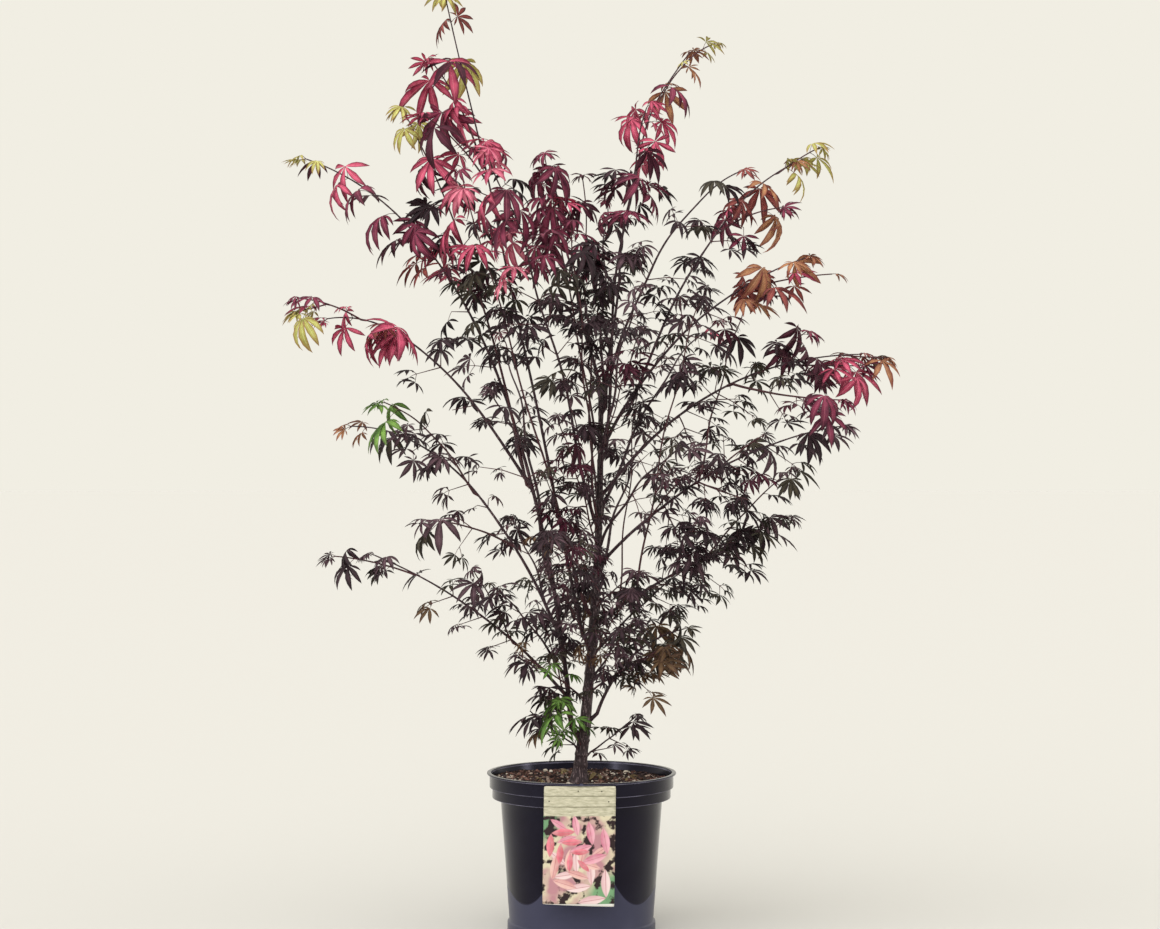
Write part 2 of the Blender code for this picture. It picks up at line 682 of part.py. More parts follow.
def join_mass(name, stem, spray, tint):
    """Unites the stem with its twigs and leaves into one body."""
    mass = add_object(name, tube_mesh(stem.points, stem.radii, stem.sides), parts, tint)
    sprigs = new_collection(f"{name}_sprigs")
    for index, mesh in enumerate(spray):
        add_object(f"{name}_sprig_{index}", mesh, sprigs, tint)
    union = mass.modifiers.new("grow together", "BOOLEAN")
    union.operation = "UNION"
    union.operand_type = "COLLECTION"
    union.collection = sprigs
    union.solver = "MANIFOLD"  # the exact solver leaves open edges where thin leaves cross the stem
    keep_result(mass)
    drop_scrap(mass.data)
    for piece in list(sprigs.objects):
        bpy.data.objects.remove(piece)
    bpy.data.collections.remove(sprigs)
    return mass


clear_scene()
parts = new_collection("potted_japanese_maple")
cutters = new_collection("cutters")
workshop = new_collection("workshop")

make_pot()
make_soil()
make_label()

limbs = {"trunk": trunk_limb()}
trunk = add_object("trunk", tube_mesh(*limbs["trunk"]), parts, BARK)
guides = {"trunk": clearance_guide("trunk", limbs["trunk"])}
flare_roots(trunk.data)
flare_roots(guides["trunk"].data)

space = Space()
space.add_limb(limbs["trunk"])
stems = {}
boughs = {}
for whip in WHIPS:
    limb = whip_limb(whip, limbs)
    limbs[whip.name] = limb
    if whip.bare:
        bough, stem = split_limb(limb, whip.bare)
        boughs[whip.name] = bough
        space.add_limb(bough)
    else:
        stem = Limb(limb.points, limb.radii, STEM_SIDES)
    stems[whip.name] = stem
    space.add_stem(whip.name, stem)
space.settle()

for whip in WHIPS:
    if not whip.bare:
        continue
    bough = boughs[whip.name]
    if whip.parent not in guides:
        guides[whip.parent] = clearance_guide(whip.parent, boughs[whip.parent])
    cut_clear(add_object(f"bough_{whip.name}", tube_mesh(*bough), parts, BARK), guides[whip.parent])

for index, whip in enumerate(WHIPS):
    for attempt in range(SEEDS_SKIPPED.get(whip.name, 0), SEEDS):
        seed = FIRST_SEED + index + SEED_STEP * attempt
        spray = grow_foliage(whip, stems[whip.name], space, seed)
        mass = join_mass(f"foliage_{whip.name}", stems[whip.name], spray, whip.tint)
        if not whip.bare and whip.leaves_at < 1.0:
            cut_clear(mass, guides[whip.parent])
        if is_closed(mass.data):
            break
        remove_object(mass)
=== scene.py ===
"""A potted Japanese maple in the looks of the real plant, built round its solids.

Metres, +Z up, -Y to the front. The sections follow the plant from the ground up: studio, pot, potting soil,
picture card, wood, twigs and leaves.
"""

import json
import math
import random
from collections import namedtuple

import bmesh
import bpy
import numpy as np
from mathutils import Matrix, Vector, noise
from mathutils.kdtree import KDTree

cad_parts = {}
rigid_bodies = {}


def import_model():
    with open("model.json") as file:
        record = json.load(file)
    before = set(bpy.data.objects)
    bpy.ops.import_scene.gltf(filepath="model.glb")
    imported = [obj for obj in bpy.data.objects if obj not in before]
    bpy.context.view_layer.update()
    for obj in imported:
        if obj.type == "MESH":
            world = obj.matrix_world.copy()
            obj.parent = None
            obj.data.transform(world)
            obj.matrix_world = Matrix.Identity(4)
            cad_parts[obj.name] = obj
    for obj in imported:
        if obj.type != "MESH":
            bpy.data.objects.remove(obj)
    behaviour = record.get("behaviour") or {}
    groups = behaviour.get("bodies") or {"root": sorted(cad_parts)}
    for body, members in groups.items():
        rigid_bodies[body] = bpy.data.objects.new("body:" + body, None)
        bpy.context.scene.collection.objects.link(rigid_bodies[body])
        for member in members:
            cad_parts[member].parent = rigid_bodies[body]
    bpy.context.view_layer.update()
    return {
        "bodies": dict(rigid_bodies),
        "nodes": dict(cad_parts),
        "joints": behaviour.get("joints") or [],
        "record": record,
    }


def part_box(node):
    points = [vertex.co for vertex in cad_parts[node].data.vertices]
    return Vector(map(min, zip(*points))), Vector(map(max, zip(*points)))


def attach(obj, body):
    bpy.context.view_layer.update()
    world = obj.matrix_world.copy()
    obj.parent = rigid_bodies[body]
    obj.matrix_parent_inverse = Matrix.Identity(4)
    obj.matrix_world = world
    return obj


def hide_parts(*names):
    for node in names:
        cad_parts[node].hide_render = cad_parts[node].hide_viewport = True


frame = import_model()


# ---- Studio ----
# A plant on a pale cream floor that runs out to a cream wall, under two broad soft lamps and two tall
# lamp boxes at the sides, which draw upright gleams on the pot.

CREAM = (0.88, 0.855, 0.768, 1.0)
FLOOR_FINISH = {"Base Color": (0.609, 0.599, 0.574, 1.0), "Roughness": 0.9, "Specular IOR Level": 0.0}
FLOOR_RADIUS = 60.0
MID_PLANT = (0.0, 0.0, 0.6)
MID_POT = (0.0, 0.0, 0.3)
CAMERA_PLACE = (-0.0022, -3.58, 0.69)
LENS_MM = 75.0
SENSOR_MM = 36.0


def mesh_of(name, shape):
    mesh = bpy.data.meshes.new(name)
    shape.to_mesh(mesh)
    shape.free()
    return mesh


def set_out(name, data):
    """Puts a mesh, a lamp, a camera or a curve into the scene."""
    thing = bpy.data.objects.new(name, data)
    bpy.context.scene.collection.objects.link(thing)
    return thing


camera = set_out("camera", bpy.data.cameras.new("camera"))
camera.data.lens = LENS_MM
camera.data.sensor_width = SENSOR_MM
camera.location = CAMERA_PLACE
camera.rotation_euler = (math.pi / 2.0, 0.0, 0.0)
bpy.context.scene.camera = camera
bpy.context.scene.view_settings.view_transform = "Standard"

studio = bpy.data.worlds.new("studio")
studio.use_nodes = True
studio.node_tree.nodes["Background"].inputs["Color"].default_value = CREAM
bpy.context.scene.world = studio


def hang_lamp(name, kind, place, aim, energy, **settings):
    """Only the broad lamps light the floor. The boxes do no more than gleam on what is glossy."""
    lamp = set_out(name, bpy.data.lights.new(name, kind))
    lamp.data.energy = energy
    for setting, value in settings.items():
        setattr(lamp.data, setting, value)
    lamp.location = place
    lamp.rotation_euler = (Vector(aim) - Vector(place)).to_track_quat("-Z", "Y").to_euler()
    lamp.visible_camera = False
    lamp.visible_diffuse = kind == "SUN"


hang_lamp("broad_left", "SUN", (-2.0, -3.0, 4.0), MID_PLANT, 2.15, angle=math.radians(80.0))
hang_lamp("broad_right", "SUN", (3.0, -1.0, 3.0), MID_PLANT, 0.5, angle=math.radians(60.0))
hang_lamp("box_left", "AREA", (-1.6, -1.5, 0.7), MID_POT, 7.0, shape="RECTANGLE", size=0.25, size_y=1.6)
hang_lamp("box_right", "AREA", (1.9, -0.4, 0.7), MID_POT, 9.0, shape="RECTANGLE", size=0.4, size_y=1.6)

floor_shape = bmesh.new()
bmesh.ops.create_circle(floor_shape, cap_ends=True, segments=64, radius=FLOOR_RADIUS)
floor = set_out("floor", mesh_of("floor", floor_shape))
floor_paint = bpy.data.materials.new("floor_paint")
floor_paint.use_nodes = True
for socket, value in FLOOR_FINISH.items():
    floor_paint.node_tree.nodes["Principled BSDF"].inputs[socket].default_value = value
floor.data.materials.append(floor_paint)


# ---- Pot ----
# A blow-moulded nursery pot of glossy black plastic: a tapering wall with a foot ring, a collar in two
# steps and a thin rolled lip, with drain holes in its floor.

pot_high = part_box("pot")[1]
POT_HEIGHT = pot_high.z
LIP_RADIUS = pot_high.x
LIP_THICKNESS = 0.0025
UPPER_BAND_RADIUS = 0.136
UPPER_BAND_FOOT = 0.2133
LOWER_BAND_RADIUS = 0.132
LOWER_BAND_FOOT = 0.198
BODY_TOP_RADIUS = 0.1195
BODY_FOOT_RADIUS = 0.1065
FOOT_RADIUS = 0.1095
FOOT_HEIGHT = 0.0155
WALL_FOOT = FOOT_HEIGHT + 0.0016
POT_WALL = 0.0022
POT_FLOOR = 0.0035
POT_SEGMENTS = 144
CORNER_ROUND = 0.0008
CORNER_ANGLE = math.radians(35.0)
WALL_BANDS = 8  # rings up the wall, which let it bulge and hollow a little
WALL_WOBBLE = 0.0004
WOBBLE_SCALE = 14.0
DRAIN_HOLES = 8
DRAIN_RADIUS = 0.006
DRAIN_CIRCLE = 0.08


class Value:
    """A value in a material's nodes. Sums, products and the like of it add their Math nodes."""

    def __init__(self, tree, socket):
        self.tree = tree
        self.socket = socket

    def node(self, kind, sockets, output=0, **settings):
        """Adds a node: its settings first, then its sockets, by link or by value."""
        made = self.tree.nodes.new(kind)
        for setting, value in settings.items():
            setattr(made, setting, value)
        for socket, value in sockets.items():
            if isinstance(value, Value):
                self.tree.links.new(value.socket, made.inputs[socket])
            else:
                made.inputs[socket].default_value = value
        return Value(self.tree, made.outputs[output])

    def math(self, operation, first, second=0.0, clamp=False):
        return self.node("ShaderNodeMath", {0: first, 1: second}, operation=operation, use_clamp=clamp)

    def __add__(self, other):
        return self.math("ADD", self, other)

    def __radd__(self, other):
        return self.math("ADD", other, self)

    def __sub__(self, other):
        return self.math("SUBTRACT", self, other)

    def __rsub__(self, other):
        return self.math("SUBTRACT", other, self)

    def __mul__(self, other):
        return self.math("MULTIPLY", self, other)

    def __rmul__(self, other):
        return self.math("MULTIPLY", other, self)

    def __pow__(self, other):
        return self.math("POWER", self, other)

    def clamped(self):
        return self.math("ADD", self, 0.0, clamp=True)

    def absolute(self):
        return self.math("ABSOLUTE", self)

    def fraction(self):
        return self.math("FRACT", self)

    def above(self, edge, blur):
        """0 below the edge and 1 above it, with a blur between."""
        return self.math("MULTIPLY", self - (edge - blur / 2.0), 1.0 / blur, clamp=True)

    def parts(self):
        """The X, Y and Z of a vector."""
        first = self.node("ShaderNodeSeparateXYZ", {0: self})
        return [Value(self.tree, output) for output in first.socket.node.outputs]

    def stretched(self, x, y, z):
        return self.node("ShaderNodeVectorMath", {0: self, 1: (x, y, z)}, operation="MULTIPLY")

    def cloud(self, scale, detail=3.0, roughness=0.5):
        """Soft noise over a place, from 0 to 1."""
        sockets = {"Vector": self, "Scale": scale, "Detail": detail, "Roughness": roughness}
        return self.node("ShaderNodeTexNoise", sockets)

    def cells(self, scale):
        """The distance to the nearest of many scattered points."""
        return self.node("ShaderNodeTexVoronoi", {"Vector": self, "Scale": scale}, output="Distance")

    def blend(self, low, high):
        """The colour low where this is 0, and high where it is 1."""
        low, high = (tone if isinstance(tone, Value) else (*tone, 1.0) for tone in (low, high))
        return self.node("ShaderNodeMix", {0: self, 6: low, 7: high}, output=2, data_type="RGBA")

    def bump(self, depth, strength=1.0):
        """The normal of a surface that this value raises by up to a depth."""
        return self.node("ShaderNodeBump", {"Height": self, "Distance": depth, "Strength": strength})


class Finish:
    """A material: its constant sockets, and what varies over the surface by Object coordinates."""

    def __init__(self, name, roughness, **constants):
        self.material = bpy.data.materials.new(name)
        self.material.use_nodes = True
        self.tree = self.material.node_tree
        self.shader = self.tree.nodes["Principled BSDF"]
        self.shader.inputs["Roughness"].default_value = roughness
        for socket, value in constants.items():
            self.shader.inputs[socket.replace("_", " ")].default_value = value
        coordinates = self.tree.nodes.new("ShaderNodeTexCoord")
        self.place = Value(self.tree, coordinates.outputs["Object"])

    def read_map(self, name):
        """The piece's own map, as a place."""
        return Value(self.tree, None).node("ShaderNodeUVMap", {}, uv_map=name)

    def paint(self, **values):
        for socket, value in values.items():
            self.tree.links.new(value.socket, self.shader.inputs[socket.replace("_", " ")])


def add_piece(name, mesh, finish, slot, *nodes):
    """Puts a finished mesh on the plant, in place of the solids that it stands for."""
    mesh.materials.append(finish.material)
    mesh.shade_smooth()
    mesh.set_sharp_from_angle(angle=CORNER_ANGLE)
    piece = set_out(name, mesh)
    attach(piece, "root")
    if nodes:
        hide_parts(*nodes)
    return piece


def turned_shape(profile, segments):
    """A line of (radius, height) points turned round the pot's axis."""
    shape = bmesh.new()
    points = [shape.verts.new((radius, 0.0, height)) for radius, height in profile]
    lines = [shape.edges.new(pair) for pair in zip(points, points[1:])]
    bmesh.ops.spin(
        shape, geom=points + lines, axis=(0.0, 0.0, 1.0), cent=(0.0, 0.0, 0.0),
        angle=2.0 * math.pi, steps=segments, use_merge=True,
    )
    bmesh.ops.remove_doubles(shape, verts=shape.verts, dist=0.00001)
    bmesh.ops.recalc_face_normals(shape, faces=shape.faces)
    return shape


def round_edges(shape, edges, offset, segments):
    bmesh.ops.bevel(
        shape, geom=edges, offset=offset, segments=segments, affect="EDGES", profile=0.5, material=-1
    )


wall_rings = [
    (
        BODY_TOP_RADIUS + (BODY_FOOT_RADIUS - BODY_TOP_RADIUS) * band / WALL_BANDS,
        LOWER_BAND_FOOT + (WALL_FOOT - LOWER_BAND_FOOT) * band / WALL_BANDS,
    )
    for band in range(WALL_BANDS + 1)
]
inner_upper = UPPER_BAND_RADIUS - POT_WALL
inner_lower = LOWER_BAND_RADIUS - POT_WALL
inner_top = BODY_TOP_RADIUS - POT_WALL
inner_foot = BODY_FOOT_RADIUS - POT_WALL
upper_ledge = UPPER_BAND_FOOT + POT_WALL
lower_ledge = LOWER_BAND_FOOT + POT_WALL
under_lip = POT_HEIGHT - LIP_THICKNESS
pot_profile = [
    (0.0, POT_FLOOR), (inner_foot, POT_FLOOR), (inner_top, lower_ledge), (inner_lower, lower_ledge),
    (inner_lower, upper_ledge), (inner_upper, upper_ledge), (inner_upper, POT_HEIGHT),
    (LIP_RADIUS, POT_HEIGHT), (LIP_RADIUS, under_lip), (UPPER_BAND_RADIUS, under_lip),
    (UPPER_BAND_RADIUS, UPPER_BAND_FOOT), (LOWER_BAND_RADIUS, UPPER_BAND_FOOT),
    (LOWER_BAND_RADIUS, LOWER_BAND_FOOT), *wall_rings,
    (FOOT_RADIUS, FOOT_HEIGHT), (FOOT_RADIUS, 0.0), (0.0, 0.0),
]
pot_shape = turned_shape(pot_profile, POT_SEGMENTS)
sharp = [edge for edge in pot_shape.edges if edge.calc_face_angle(0.0) > CORNER_ANGLE]
round_edges(pot_shape, sharp, CORNER_ROUND, 2)
for corner in pot_shape.verts:
    low_wall = FOOT_HEIGHT < corner.co.z < LOWER_BAND_FOOT
    if low_wall and math.hypot(corner.co.x, corner.co.y) > POT_WALL:
        swell = noise.noise(Vector((corner.co.x, corner.co.y, corner.co.z)) * WOBBLE_SCALE)
        corner.co.xy *= 1.0 + WALL_WOBBLE * swell / BODY_FOOT_RADIUS
drain_shape = bmesh.new()
for index in range(DRAIN_HOLES):
    turn = 2.0 * math.pi * (index + 0.5) / DRAIN_HOLES
    place = Matrix.Translation((DRAIN_CIRCLE * math.cos(turn), DRAIN_CIRCLE * math.sin(turn), 0.0))
    bmesh.ops.create_cone(
        drain_shape, cap_ends=True, segments=24, radius1=DRAIN_RADIUS, radius2=DRAIN_RADIUS,
        depth=4.0 * POT_FLOOR, matrix=place,
    )
drains = set_out("drains", mesh_of("drains", drain_shape))

plastic = Finish("pot_plastic", 0.14, Specular_IOR_Level=0.24, Specular_Tint=(0.78, 0.74, 1.0, 1.0))
specks = plastic.place.cloud(900.0, 2.0)
dust = plastic.place.cloud(9.0, 5.0, 0.62)
x, y, height = plastic.place.parts()
# Painted floor reflection: the wall's foot is paler, up to a line that rises in a hump front and back.
beside_hump = x.absolute() * (1.0 / BODY_FOOT_RADIUS) - 0.78
low_wall = 1.0 - (height - (beside_hump * beside_hump * 0.32)).above(0.051, 0.003)
# Painted highlight: thin pale violet lines under the lip and at the foot of each band, broken by noise.
edges = (under_lip, UPPER_BAND_FOOT, LOWER_BAND_FOOT)
painted_edge_highlight = sum(1.0 - (height - edge).absolute().above(0.0008, 0.0006) for edge in edges)
painted_edge_highlight = painted_edge_highlight.clamped() * plastic.place.cloud(30.0, 3.0).above(0.42, 0.4)
# A little real dust, with the painted floor reflection over the foot of the wall.
dust_and_painted_reflection = (dust.above(0.58, 0.22) * 0.1 + low_wall * 0.9).clamped()
colour = dust_and_painted_reflection.blend((0.0022, 0.0015, 0.006), (0.045, 0.047, 0.08))
plastic.paint(
    Base_Color=(painted_edge_highlight * 0.75).blend(colour, (0.24, 0.23, 0.32)),
    Roughness=0.13 + dust * 0.1 + low_wall * 0.16,
    Normal=(specks * 0.2 + plastic.place.cloud(60.0, 2.0)).bump(0.00005, 0.6),
)
pot = add_piece("pot_shell", mesh_of("pot_shell", pot_shape), plastic, "black_plastic", "pot")
drill = pot.modifiers.new("drains", "BOOLEAN")
drill.operation = "DIFFERENCE"
drill.object = drains
drilled = bpy.data.meshes.new_from_object(pot.evaluated_get(bpy.context.evaluated_depsgraph_get()))
pot.modifiers.clear()
pot.data = drilled
bpy.data.objects.remove(drains)


# ---- Potting soil ----
# Coarse bark chips over dark peat, filled to a finger's width under the lip. The peat is one turned body
# with a lumpy top; chips and white grit lie half sunk in it.

SOIL_TOP = 0.218
SOIL_CROWN_RADIUS = 0.03
SOIL_EDGE_TOP = 0.2222
SOIL_GAP = 0.0003  # between the peat and the pot's wall
SOIL_RINGS = 22
PEAT_SEGMENTS = 96
SOIL_LUMPS = 0.0018
LEFT_BANK = 0.005
TRUNK_FOOT = Vector((-0.005, 0.0, 0.2183))
TRUNK_MOUND = 0.0016
MOUND_REACH = 0.024
WALL_CLEAR = 0.006  # between the wall and the middle of a chip or of a stone
TRUNK_CLEAR = 0.021
CHIP_SHAPES = 6
CHIP_SIZES = ((0.003, 0.013), (0.002, 0.006), (0.001, 0.0028))  # least and most length, width, thickness
CHIP_RISE = (-0.0004, 0.0016)
CHIP_SCALE = (0.6, 1.15)
CHIP_TILT = 0.33
CHIPS = {  # how many there are, and their dark and light tones
    "chips_brown": (640, (0.055, 0.024, 0.02), (0.25, 0.12, 0.09)),
    "chips_dark": (400, (0.016, 0.009, 0.011), (0.066, 0.038, 0.04)),
    "chips_tan": (210, (0.18, 0.12, 0.095), (0.52, 0.4, 0.33)),
}
STONE_SHAPES = 4
GRIT_STONES = 90
GRIT_SIZES = (0.0008, 0.0019)
GRIT_RISE = 0.0012
GRIT_TILT = 0.4
PLACED_STONES = (  # X, Y and radius of the large stones
    (-0.0555, 0.1015, 0.0042), (-0.0465, 0.098, 0.003), (0.0477, 0.078, 0.0036),
    (0.0677, 0.0896, 0.0044), (0.072, 0.083, 0.003), (-0.019, -0.016, 0.0034),
)

peat_upper = inner_upper - SOIL_GAP
peat_lower = inner_lower - SOIL_GAP
peat_top = inner_top - SOIL_GAP
peat_foot = inner_foot - SOIL_GAP
peat_profile = [
    *((peat_upper * ring / SOIL_RINGS, SOIL_TOP) for ring in range(SOIL_RINGS + 1)),
    (peat_upper, upper_ledge + SOIL_GAP), (peat_lower, upper_ledge + SOIL_GAP),
    (peat_lower, lower_ledge + SOIL_GAP), (peat_top, lower_ledge + SOIL_GAP),
    (peat_foot, POT_FLOOR + SOIL_GAP), (0.0, POT_FLOOR + SOIL_GAP),
]


def soil_height(x, y):
    """The height of the peat's lumpy top, mounded round the trunk and banked up at the wall."""
    radius = math.hypot(x, y)
    bank = min(1.0, max(0.0, radius - SOIL_CROWN_RADIUS) / (peat_upper - SOIL_CROWN_RADIUS))
    level = SOIL_TOP + (SOIL_EDGE_TOP - SOIL_TOP) * bank + LEFT_BANK * (max(0.0, -x) / peat_upper) ** 2
    lumps = noise.noise(Vector((x, y, 0.0)) * 45.0) + 0.5 * noise.noise(Vector((x, y, 0.3)) * 130.0)
    to_trunk = math.hypot(x - TRUNK_FOOT.x, y - TRUNK_FOOT.y)
    return level + SOIL_LUMPS * lumps + TRUNK_MOUND * math.exp(-((to_trunk / MOUND_REACH) ** 2))


def stir(place, dark, light, scale):
    """A tone that changes from chip to chip and within each."""
    return place.cloud(scale, 3.0, 0.6).above(0.5, 0.36).blend(dark, light)


peat_shape = turned_shape(peat_profile, PEAT_SEGMENTS)
for corner in peat_shape.verts:
    if corner.co.z > SOIL_TOP - SOIL_GAP:
        corner.co.z = soil_height(corner.co.x, corner.co.y)
peat = Finish("peat", 0.95, Specular_IOR_Level=0.15)
crumbs = peat.place.cells(520.0)
peat.paint(
    Base_Color=stir(peat.place, (0.01, 0.006, 0.005), (0.05, 0.026, 0.017), 240.0),
    Roughness=0.88 + peat.place.cloud(300.0) * 0.1,
    Normal=(crumbs + peat.place.cloud(700.0, 3.0) * 0.6).bump(0.001, 0.9),
)
add_piece("peat", mesh_of("peat", peat_shape), peat, "potting_soil", "soil")


def pattern_of(shape, map_layer=None):
    """The corners, triangles and map places of a small shape that is copied many times."""
    bmesh.ops.triangulate(shape, faces=shape.faces)
    shape.verts.index_update()
    corners = np.array([corner.co for corner in shape.verts])
    triangles = np.array([[corner.index for corner in face.verts] for face in shape.faces])
    places = None
    if map_layer:
        places = np.zeros((len(corners), 2))
        for corner in shape.verts:
            places[corner.index] = corner.link_loops[0][map_layer].uv
    shape.free()
    return corners, triangles, places


def joined_copies(name, patterns, copies):
    """One mesh of many copies, each a pattern's number and the matrix that puts it in its place."""
    corners, triangles, places, first = [], [], [], 0
    for number, frame in copies:
        shape_corners, shape_triangles, shape_places = patterns[number]
        corners.append(shape_corners @ np.array(frame.to_3x3()).T + np.array(frame.translation))
        triangles.append(shape_triangles + first)
        places.append(shape_places)
        first += len(shape_corners)
    corners, triangles = np.concatenate(corners), np.concatenate(triangles)
    mesh = bpy.data.meshes.new(name)
    mesh.vertices.add(len(corners))
    mesh.vertices.foreach_set("co", corners.ravel())
    mesh.loops.add(3 * len(triangles))
    mesh.loops.foreach_set("vertex_index", triangles.ravel())
    mesh.polygons.add(len(triangles))
    mesh.polygons.foreach_set("loop_start", np.arange(0, 3 * len(triangles), 3))
    if places[0] is not None:
        leaf_map = mesh.uv_layers.new(name="leaf")
        leaf_map.uv.foreach_set("vector", np.concatenate(places)[triangles.ravel()].ravel())
    mesh.update(calc_edges=True)
    return mesh


def turned_frame(place, chance, tilt, scale=1.0):
    """A frame at a place with any heading and a small tilt."""
    heading = Matrix.Rotation(chance.uniform(0.0, 2.0 * math.pi), 4, "Z")
    lean = Matrix.Rotation(chance.gauss(0.0, tilt), 4, "X")
    roll = Matrix.Rotation(chance.gauss(0.0, tilt), 4, "Y")
    return Matrix.Translation(place) @ heading @ lean @ roll @ Matrix.Scale(scale, 4)


def spot_on_soil(chance):
    """The X and Y of any spot on the soil."""
    heading = chance.uniform(0.0, 2.0 * math.pi)
    radius = (peat_upper - WALL_CLEAR) * math.sqrt(chance.random())
    return radius * math.cos(heading), radius * math.sin(heading)


soil_chance = random.Random(31)
chip_patterns = []
for index in range(CHIP_SHAPES):
    sizes = [low + (high - low) * soil_chance.random() ** 1.6 for low, high in CHIP_SIZES]
    chip_shape = bmesh.new()
    bmesh.ops.create_cube(chip_shape, size=1.0)
    long_edges = [edge for edge in chip_shape.edges if abs(edge.verts[0].co.x - edge.verts[1].co.x) > 0.5]
    bmesh.ops.subdivide_edges(chip_shape, edges=long_edges, cuts=2)
    for corner in chip_shape.verts:
        corner.co.y *= soil_chance.uniform(0.35, 1.0)
        corner.co.z *= soil_chance.uniform(0.4, 1.0)
        corner.co.z += 0.5 * (0.5 - abs(corner.co.x))
        corner.co.x *= soil_chance.uniform(0.85, 1.0)
    round_edges(chip_shape, chip_shape.edges[:], 0.05, 1)
    bmesh.ops.scale(chip_shape, vec=sizes, verts=chip_shape.verts)
    chip_patterns.append(pattern_of(chip_shape))

for name, (count, dark, light) in CHIPS.items():
    chips = []
    for index in range(count):
        x, y = spot_on_soil(soil_chance)
        place = Vector((x, y, soil_height(x, y) + soil_chance.uniform(*CHIP_RISE)))
        if (place - TRUNK_FOOT).xy.length > TRUNK_CLEAR:
            lie = turned_frame(place, soil_chance, CHIP_TILT, soil_chance.uniform(*CHIP_SCALE))
            chips.append((soil_chance.randrange(CHIP_SHAPES), lie))
    chip_finish = Finish(name, 0.85, Specular_IOR_Level=0.25)
    fibres = chip_finish.place.stretched(1.0, 1.0, 2.5).cloud(900.0, 3.0, 0.65)
    chip_finish.paint(
        Base_Color=stir(chip_finish.place, dark, light, 95.0),
        Roughness=0.75 + fibres * 0.2,
        Normal=fibres.bump(0.0005, 0.8),
    )
    add_piece(name, joined_copies(name, chip_patterns, chips), chip_finish, "potting_soil")

stone_patterns = []
for index in range(STONE_SHAPES):
    stone_shape = bmesh.new()
    bmesh.ops.create_icosphere(stone_shape, subdivisions=2, radius=1.0)
    for corner in stone_shape.verts:
        corner.co *= 1.0 + 0.22 * noise.noise(corner.co * 1.3 + Vector((index * 7.0, 0.0, 0.0)))
        corner.co.z *= 0.68
    stone_patterns.append(pattern_of(stone_shape))
stones = []
for x, y, size in PLACED_STONES:
    place = Vector((x, y, soil_height(x, y) + size * 0.35))
    stones.append((len(stones) % STONE_SHAPES, turned_frame(place, soil_chance, 0.25, size)))
for index in range(GRIT_STONES):
    x, y = spot_on_soil(soil_chance)
    place = Vector((x, y, soil_height(x, y) + GRIT_RISE))
    if (place - TRUNK_FOOT).xy.length > TRUNK_CLEAR:
        lie = turned_frame(place, soil_chance, GRIT_TILT, soil_chance.uniform(*GRIT_SIZES))
        stones.append((soil_chance.randrange(STONE_SHAPES), lie))
grit = Finish("grit", 0.7, Specular_IOR_Level=0.4)
stone_tone = grit.place.cloud(70.0, 3.0).above(0.5, 0.4)
grit.paint(
    Base_Color=stone_tone.blend((0.38, 0.3, 0.22), (0.82, 0.76, 0.66)),
    Roughness=0.6 + grit.place.cloud(400.0) * 0.25,
    Normal=grit.place.cloud(900.0, 3.0).bump(0.0003, 0.7),
)
add_piece("grit", joined_copies("grit", stone_patterns, stones), grit, "potting_soil")


# ---- Picture card ----
# A printed plastic card, bent round the collar and hung from under the lip: a strip of weathered planks at
# its top and a blurred print of pink sprigs below, with a white edge at its foot.

CARD_WIDTH = 0.1025
CARD_HEIGHT = 0.17
CARD_THICKNESS = 0.0008
CARD_CENTRE_X = -0.0022
CARD_TOP = POT_HEIGHT - LIP_THICKNESS - 0.0012
CARD_BEND_RADIUS = 0.45
CARD_CORNER = 0.0015
CARD_LEAN = 0.0024
CARD_TURN = 0.22
PLANK_STRIP = 0.0425
PLANK_JOINTS = (0.014, 0.0295)  # below the card's top
NAILS = ((-0.044, 0.0215), (0.041, 0.022), (-0.0025, 0.0068), (0.031, 0.0072))
WHITE_FOOT = 0.0022
CARD_GAP = 0.0003  # between the card and the collar
CARD_RIPPLE = 0.00025
SPRIG_LEAVES = 3  # pairs on each printed sprig
SPRIGS = (  # where a printed sprig starts and ends, from the card's centre line and its top, and its tone
    ((0.048, 0.168), (-0.02, 0.112), 0.038, (0.62, 0.36, 0.4), (0.76, 0.6, 0.6)),
    ((-0.05, 0.14), (0.016, 0.1), 0.034, (0.54, 0.21, 0.21), (0.72, 0.44, 0.38)),
    ((0.05, 0.104), (-0.018, 0.062), 0.036, (0.5, 0.1, 0.2), (0.74, 0.33, 0.43)),
    ((-0.048, 0.06), (-0.004, 0.104), 0.032, (0.44, 0.016, 0.05), (0.72, 0.14, 0.21)),
)

